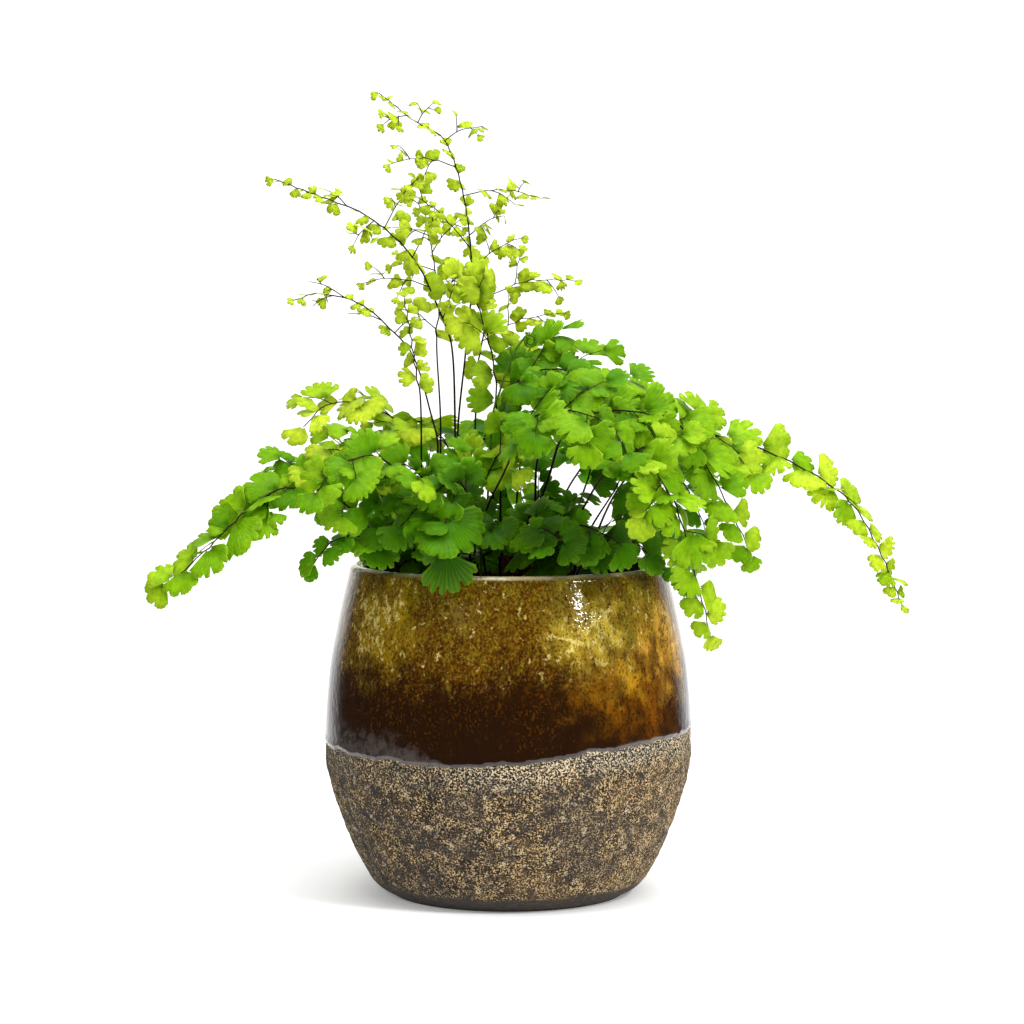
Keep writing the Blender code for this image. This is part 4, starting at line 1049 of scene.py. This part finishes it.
def make_crozier(name, line, material, leaf_material):
    """A young frond: a stalk with a curled tip that carries buds of folded leaflets."""
    curve = new_curve(name + "_stalk")
    add_line(curve, line, CROZIER_RADIUS)
    place(name + "_stalk", curve, material, "young_stalk", name)
    dice = random.Random(name)
    bm = bmesh.new()
    tone = bm.verts.layers.float.new("tone")
    curl = line[-CURL_STEPS:]
    middle = sum(curl, Vector()) / len(curl)
    for k in range(2, CURL_STEPS - 1, 2):
        out = (curl[k] - middle).normalized() * BUD_REACH + Vector((0, dice.choice((-1, 1)) * BUD_SIDE, 0))
        stretch = Vector((dice.uniform(0.7, 1.1), dice.uniform(0.8, 1.2), dice.uniform(0.7, 1.1)))
        shade = dice.uniform(0.35, 0.6)
        size = BUD_SIZE * dice.uniform(0.7, 1.15)
        for vert in bmesh.ops.create_icosphere(bm, subdivisions=2, radius=size)["verts"]:
            vert.co = curl[k] + out + vert.co * stretch * (1 + 0.25 * lumps(vert.co, 0.0006, k))
            vert[tone] = shade
    place(name + "_buds", to_mesh(name + "_buds", bm), leaf_material, "young_stalk")


def make_frond(name, stalk, leaf_material, stalk_material):
    """A frond's leaflets as one piece, and all its stalks as another."""
    make_blades(name, leaves_of(stalk, stalk.plan["tones_and_shade"]), leaf_material, random.Random(name))
    curve = new_curve(name + "_stalks")
    add_stalk(curve, stalk, STALK_RADIUS, LINE_STEP)
    place(name + "_stalks", curve, stalk_material, "fern")


def feed(socket, value):
    """Links a socket to another, or gives it a value or an opaque colour."""
    if isinstance(value, bpy.types.NodeSocket):
        socket.id_data.links.new(value, socket)
    elif isinstance(value, tuple) and len(value) == 3 and len(socket.default_value) == 4:
        socket.default_value = (*value, 1)
    else:
        socket.default_value = value


def new_node(kind, inputs, **settings):
    """A shader node with these inputs, by name or number, in the tree of the first one that is a socket."""
    tree = next(value.id_data for value in inputs.values() if isinstance(value, bpy.types.NodeSocket))
    made = tree.nodes.new("ShaderNode" + kind)
    for name, value in settings.items():
        setattr(made, name, value)
    for name, value in inputs.items():
        feed(made.inputs[name], value)
    return made


def calc(operation, *values):
    """A calculation with numbers and sockets."""
    return new_node("Math", dict(enumerate(values)), operation=operation).outputs[0]


def vector_calc(operation, *values):
    return new_node("VectorMath", dict(enumerate(values)), operation=operation).outputs


def between(value, low, high, first=0.0, second=1.0):
    """The first number where the value is low, the second where it's high, and a smooth way between."""
    inputs = dict(enumerate((value, low, high, first, second)))
    return new_node("MapRange", inputs, interpolation_type="SMOOTHSTEP").outputs[0]


def times(*values):
    product = values[0]
    for value in values[1:]:
        product = calc("MULTIPLY", product, value)
    return product


def total(start, *parts):
    """The start and each part, given as (value, weight), together."""
    for value, weight in parts:
        start = calc("MULTIPLY_ADD", value, weight, start)
    return start


def mixed(share, first, second):
    """The first colour where the share is 0, the second where it's 1."""
    return new_node("Mix", {0: share, 6: first, 7: second}, data_type="RGBA").outputs[2]


def grain(where, width, detail=2.0, rough=0.5):
    """Noise, mostly between 0.3 and 0.7, whose lumps are about this wide."""
    inputs = {"Vector": where, "Scale": 1 / width, "Detail": detail, "Roughness": rough}
    return new_node("TexNoise", inputs).outputs["Fac"]


def stretched(where, *scale):
    return vector_calc("MULTIPLY", where, scale)[0]


def near(spot, middle, radius):
    """1 at a point, falling to 0 at the radius."""
    return between(vector_calc("DISTANCE", spot, middle)["Value"], 0.0, radius, 1.0, 0.0)


def warped(spot, width, reach):
    """The place moved by noise, so that a round pool gets a runny outline."""
    shift = new_node("TexNoise", {"Vector": spot, "Scale": 1 / width, "Detail": 4.0}).outputs["Color"]
    drift = vector_calc("MULTIPLY_ADD", shift, (reach,) * 3, (-reach / 2,) * 3)[0]
    return vector_calc("ADD", spot, drift)[0]


def steps(value, stops):
    """Colours along a value, given as (place, colour)."""
    ramp = new_node("ValToRGB", {0: value})
    elements = ramp.color_ramp.elements
    while len(elements) < len(stops):
        elements.new(0.5)
    for element, (where, colour) in zip(elements, stops):
        element.position = where
        element.color = (*colour, 1)
    return ramp.outputs[0]


def bumpy(height, distance, strength=1.0, under=None):
    """A bumpy surface's normal, on top of another's."""
    made = new_node("Bump", {"Height": height, "Strength": strength, "Distance": distance})
    if under:
        feed(made.inputs["Normal"], under)
    return made.outputs[0]


def attribute(tree, name):
    made = tree.nodes.new("ShaderNodeAttribute")
    made.attribute_name = name
    return made.outputs["Fac"]


def object_place(tree):
    return tree.nodes.new("ShaderNodeTexCoord").outputs["Object"]


def split(vector):
    return new_node("SeparateXYZ", {0: vector}).outputs


def new_material(name):
    """A new material, its node tree, its main shader's inputs and the place on the object."""
    material = bpy.data.materials.new(name)
    material.use_nodes = True
    tree = material.node_tree
    return material, tree, tree.nodes["Principled BSDF"].inputs, object_place(tree)


def pooled(colour, runny, streaks, patchy, fine):
    """The glaze's colour with its pools of other colours."""
    broken = between(total(0.0, (fine, 0.5), (streaks, 0.5)), 0.42, 0.56, 0.5, 1.0)
    for middle, radius, tint, share in GLAZE_BLOOMS:
        mask = times(broken, near(runny, middle, radius), between(patchy, 0.34, 0.58, 0.3, 1.0), share)
        colour = mixed(mask, colour, tint)
    return colour


def glaze_colour(spot, over):
    """Dark brown at the glaze's lower edge to mottled olive gold at the rim."""
    wide, patchy = grain(spot, 0.03, 3), grain(stretched(spot, 1, 1, 0.75), 0.0075, 5, 0.65)
    fine = grain(stretched(spot, 1, 1, 0.8), 0.0012, 4, 0.75)
    mottle = grain(stretched(spot, 1, 1, 0.7), 0.0045, 4, 0.62)
    dabs = grain(stretched(spot, 1.1, 1.1, 0.9), 0.0038, 5, 0.72)
    streaks = grain(stretched(spot, 1, 1, 0.22), 0.004, 3)
    level = total(-0.65, (patchy, 0.5), (wide, 0.5), (streaks, 0.3), (over, 1 / GLAZE_HEIGHT))
    colour = steps(level, GLAZE_COLOURS)
    upper = between(level, 0.35, 0.65)
    colour = mixed(times(upper, between(mottle, 0.52, 0.62, 0.0, 0.7)), colour, REDDISH_GLAZE)
    colour = mixed(times(upper, between(mottle, 0.46, 0.36, 0.0, 0.6)), colour, GOLDEN_GLAZE)
    runny = warped(spot, *POOL_WARP)
    colour = pooled(colour, runny, streaks, patchy, fine)
    creamy = 0.0
    for middle, radius in GLAZE_CREAMS:
        creamy = calc("MAXIMUM", near(runny, middle, radius), creamy)
    cream = between(total(dabs, (creamy, 0.13)), 0.59, 0.68)
    cream = times(cream, between(fine, 0.36, 0.56, 0.25, 1.0), upper, 0.85)
    colour = mixed(cream, colour, CREAM_GLAZE)
    specks = times(between(fine, 0.5, 0.62), calc("MAXIMUM", upper, creamy), 0.4)
    colour = mixed(specks, colour, GOLD_SPECKS)
    amber = times(between(fine, 0.52, 0.64), between(mottle, 0.4, 0.58, 0.1, 0.5), between(level, -0.1, 0.35))
    colour = mixed(amber, colour, AMBER_SPECKS)
    return mixed(between(fine, 0.49, 0.37, 0.0, 0.75), colour, DARK_SPECKS)


def coat_colour(spot, over, side):
    """Coarse sand of beige, brown and near-black grains, in patches, with painted light that makes it lighter
    towards the right.
    """
    fine = grain(spot, 0.0008, 2, 0.6)
    patchy, tinted = grain(spot, 0.008, 4, 0.7), grain(spot, 0.024, 4, 0.65)
    lively = between(grain(spot, 0.005, 3), 0.4, 0.6, 0.6, 1.6)
    # The side term is painted light: it makes the coat lighter towards the right, where the light comes from.
    level = total(0.38, (side, 0.25), (calc("SUBTRACT", fine, 0.5), lively), (patchy, 0.24))
    colour = steps(level, COAT_COLOURS)
    colour = mixed(between(tinted, 0.54, 0.43, 0.0, 0.5), colour, GREY_COAT)
    colour = mixed(between(tinted, 0.52, 0.64, 0.0, 0.25), colour, BROWN_COAT)
    dabs = times(between(grain(spot, 0.0042, 3), 0.59, 0.66), between(fine, 0.42, 0.55), 0.6)
    colour = mixed(dabs, colour, PALE_DABS)
    # Pale grains just under the glaze's edge: partly real specks, and partly painted light, since there are
    # more of them towards the right.
    pale = times(between(over, -0.016, -0.001), between(side, -0.06, 0.03, 0.3, 1.0), 0.8)
    return mixed(times(pale, between(fine, 0.51, 0.57)), colour, PALE_GRAINS)


def veil_share(spot, over, side):
    """Where the grey veil on the glaze's edge is, partly the glaze's own colour and partly a painted sheen: a
    wide crescent at the left, a thin line at the right.
    """
    ragged = between(grain(spot, 0.005, 3), 0.35, 0.6, 0.7, 1.2)
    left = times(between(side, -0.022, -0.062, 0.0012, 0.014), ragged)
    height = calc("MAXIMUM", left, between(side, 0.035, 0.055, 0.0012, 0.003))
    share = between(calc("DIVIDE", over, height), 1.1, 0.4)
    return times(share, between(grain(spot, 0.004, 4, 0.65), 0.38, 0.56, 0.35, 0.85))


def planter_material():
    """Glossy runny glaze over a rough coat of sand, with a worn lip that also holds a painted highlight, and
    a plain foot ring.
    """
    material, tree, shader, spot = new_material("glaze_over_sandy_coat")
    side, _, height = split(spot)
    over = attribute(tree, "over_edge")
    glazed = between(over, -0.0001, 0.0004)
    # The grey veil is partly the glaze's colour and partly a painted sheen.
    colour = mixed(veil_share(spot, over, side), glaze_colour(spot, over), VEIL_AND_SHEEN)
    # The pale band along the rim is partly wear and partly a painted highlight.
    lip_wear_and_highlight = times(between(height, 0.1597, 0.162), between(grain(spot, 0.009), 0.36, 0.55, 0.4, 1.0), 0.8)
    colour = mixed(lip_wear_and_highlight, colour, WORN_LIP_AND_HIGHLIGHT)
    ring = between(height, FOOT_RING + 0.0015, FOOT_RING - 0.001)
    sand = mixed(times(ring, 0.92), coat_colour(spot, over, side), BARE_FOOT)
    feed(shader["Base Color"], mixed(glazed, sand, colour))
    feed(shader["Roughness"], between(glazed, 0.0, 1.0, COAT_ROUGHNESS, GLAZE_ROUGHNESS))
    sandy = times(between(glazed, 1.0, 0.0), between(ring, 1.0, 0.0, 0.15, 1.0))
    normal = bumpy(grain(spot, 0.0009, 2, 0.6), 0.0018, sandy)
    ripple = total(grain(spot, 0.004, 2), (grain(spot, 0.0015, 1), 0.25))
    feed(shader["Normal"], bumpy(ripple, 0.0006, times(glazed, 0.35), normal))
    return material


def leaf_material():
    """Thin green blades with fine forked veins, lit through from behind, with painted shade at their bases
    and a painted highlight along their edges.
    """
    material, tree, shader, spot = new_material("maidenhair_leaflet")
    tone = total(attribute(tree, "tone"), (calc("SUBTRACT", grain(spot, 0.006), 0.5), 0.24))
    across, out, edge = (attribute(tree, name) for name in BLADE_FACTS[1:])
    fan, forks = (calc("PINGPONG", calc("MULTIPLY", across, veins), 0.5) for veins in (VEINS, 2 * VEINS))
    forked = times(between(forks, 0.3, 0.5), between(out, 0.45, 0.6))
    vein = calc("MAXIMUM", between(fan, 0.34, 0.5), forked)
    colour = steps(tone, LEAF_COLOURS)
    tint = mixed(between(tone, 0.3, 0.9), *LEAF_TINTS)
    colour = mixed(times(vein, 0.3), colour, tint)
    colour = mixed(between(out, 0.6, 1.0, 0.0, 0.15), colour, tint)
    # Painted highlight along each leaflet's edge, stronger on paler leaflets.
    pale = times(between(edge, 0.92, 1.0), between(tone, 0.1, 0.5, 0.12, 0.4))
    colour = mixed(pale, colour, LEAF_EDGE_HIGHLIGHT)
    # Painted shade: darker towards each leaflet's stalklet.
    colour = mixed(between(out, 0.55, 0.1, 0.0, 0.5), colour, LEAF_BASE_SHADE)
    blotch = between(grain(spot, 0.0024, 4, 0.6), 0.4, 0.62, 0.0, 0.24)
    colour = mixed(blotch, colour, LEAF_BLOTCH)
    feed(shader["Base Color"], colour)
    shader["Roughness"].default_value = 0.42
    shader["Specular IOR Level"].default_value = 0.14
    normal = bumpy(vein, 0.00025, 0.7)
    feed(shader["Normal"], bumpy(grain(spot, 0.0022, 2), 0.0004, 0.4, normal))
    lit_through = new_node("BsdfTranslucent", {"Color": mixed(0.45, colour, tint)})
    surface = tree.nodes["Principled BSDF"].outputs[0]
    join = new_node("MixShader", {0: SEE_THROUGH, 1: surface, 2: lit_through.outputs[0]})
    feed(tree.nodes["Material Output"].inputs["Surface"], join.outputs[0])
    return material


def plain_material(name, colours, width, roughness, bump, tone=None):
    """A material of mottled colours, by noise of a width or by a mesh attribute."""
    material, tree, shader, spot = new_material(name)
    shader["Specular IOR Level"].default_value = 0.08
    shader["Roughness"].default_value = roughness
    mottle = grain(spot, width, 3, 0.6)
    value = total(attribute(tree, tone), (mottle, 0.5)) if tone else mottle
    feed(shader["Base Color"], steps(value, colours))
    feed(shader["Normal"], bumpy(grain(spot, width / 2, 3), bump))
    return material


def panel(name, stand, aim, size, watts, mirrored):
    """A softbox of (width, height). One that isn't mirrored lights surfaces but makes no highlights."""
    data = bpy.data.lights.new(name, "AREA")
    data.shape = "RECTANGLE"
    data.size, data.size_y = size
    data.energy = watts
    lamp = bpy.data.objects.new(name, data)
    lamp.location = stand
    lamp.rotation_euler = (Vector(aim) - Vector(stand)).to_track_quat("-Z", "Y").to_euler()
    lamp.visible_glossy = mirrored
    lamp.visible_camera = False
    bpy.context.scene.collection.objects.link(lamp)


def make_world():
    """White behind the plant, and for other light a room that is dark on the viewer's side."""
    world = bpy.data.worlds.new("studio")
    world.use_nodes = True
    tree = world.node_tree
    background = tree.nodes["Background"]
    _, depth, rise = split(tree.nodes.new("ShaderNodeTexCoord").outputs["Generated"])
    back = between(depth, *WORLD_DEPTHS, *WORLD_LEVELS)
    level = calc("MAXIMUM", back, between(rise, *WORLD_RISE, 0.0, WORLD_TOP))
    seen = tree.nodes.new("ShaderNodeLightPath").outputs["Is Camera Ray"]
    feed(background.inputs["Strength"], calc("MAXIMUM", level, seen))
    background.inputs["Color"].default_value = (1, 1, 1, 1)
    bpy.context.scene.world = world


def make_floor():
    """A round white table, which isn't a piece of the part."""
    material, _, shader, _ = new_material("white_table")
    feed(shader["Base Color"], FLOOR_WHITE)
    feed(shader["Emission Color"], (1, 1, 1))
    for name, value in (("Roughness", 0.9), ("Specular IOR Level", 0.0), ("Emission Strength", FLOOR_GLOW)):
        shader[name].default_value = value
    bm = bmesh.new()
    bmesh.ops.create_circle(bm, cap_ends=True, segments=96, radius=FLOOR_RADIUS)
    mesh = to_mesh("white_table", bm)
    mesh.materials.append(material)
    floor = bpy.data.objects.new("white_table", mesh)
    bpy.context.scene.collection.objects.link(floor)


def make_camera():
    """The front view, a little from above."""
    data = bpy.data.cameras.new("camera")
    data.lens = CAMERA_LENS
    data.sensor_width = 36
    camera = bpy.data.objects.new("camera", data)
    camera.location = CAMERA_PLACE
    camera.rotation_euler = (math.radians(90 - CAMERA_TILT), 0, 0)
    bpy.context.scene.collection.objects.link(camera)
    bpy.context.scene.camera = camera


def make_studio():
    """White world, table, softboxes and camera."""
    make_world()
    make_floor()
    for lamp in PANELS:
        panel(*lamp)
    make_camera()
    bpy.context.scene.view_settings.view_transform = "Standard"


def main():
    """Loads the CAD, replaces each of its nodes by finished pieces and lights them."""
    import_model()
    leaf = leaf_material()
    stalk = plain_material("wiry_stalk", STALK_COLOURS, 0.006, 0.4, 0.0001)
    young = plain_material("young_stalk", YOUNG_COLOURS, 0.005, 0.4, 0.0001)
    rootstock = plain_material("rootstock", RHIZOME_COLOURS, 0.003, 0.8, 0.0006)
    peat = plain_material("peat", SOIL_COLOURS, 0.004, 0.95, 0.0008)
    make_planter(planter_material())
    make_soil(peat)
    make_crumbs(plain_material("crumbs", CRUMB_COLOURS, 0.0015, 0.9, 0.0004, "tone"))
    make_rhizome(rootstock)
    make_scales(rootstock)
    for name, grown in grow_fern().items():
        make_frond(name, grown, leaf, stalk)
    for name, shape in CROZIERS.items():
        make_crozier(name, crozier_line(*shape), young, leaf)
    make_studio()
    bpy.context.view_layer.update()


main()
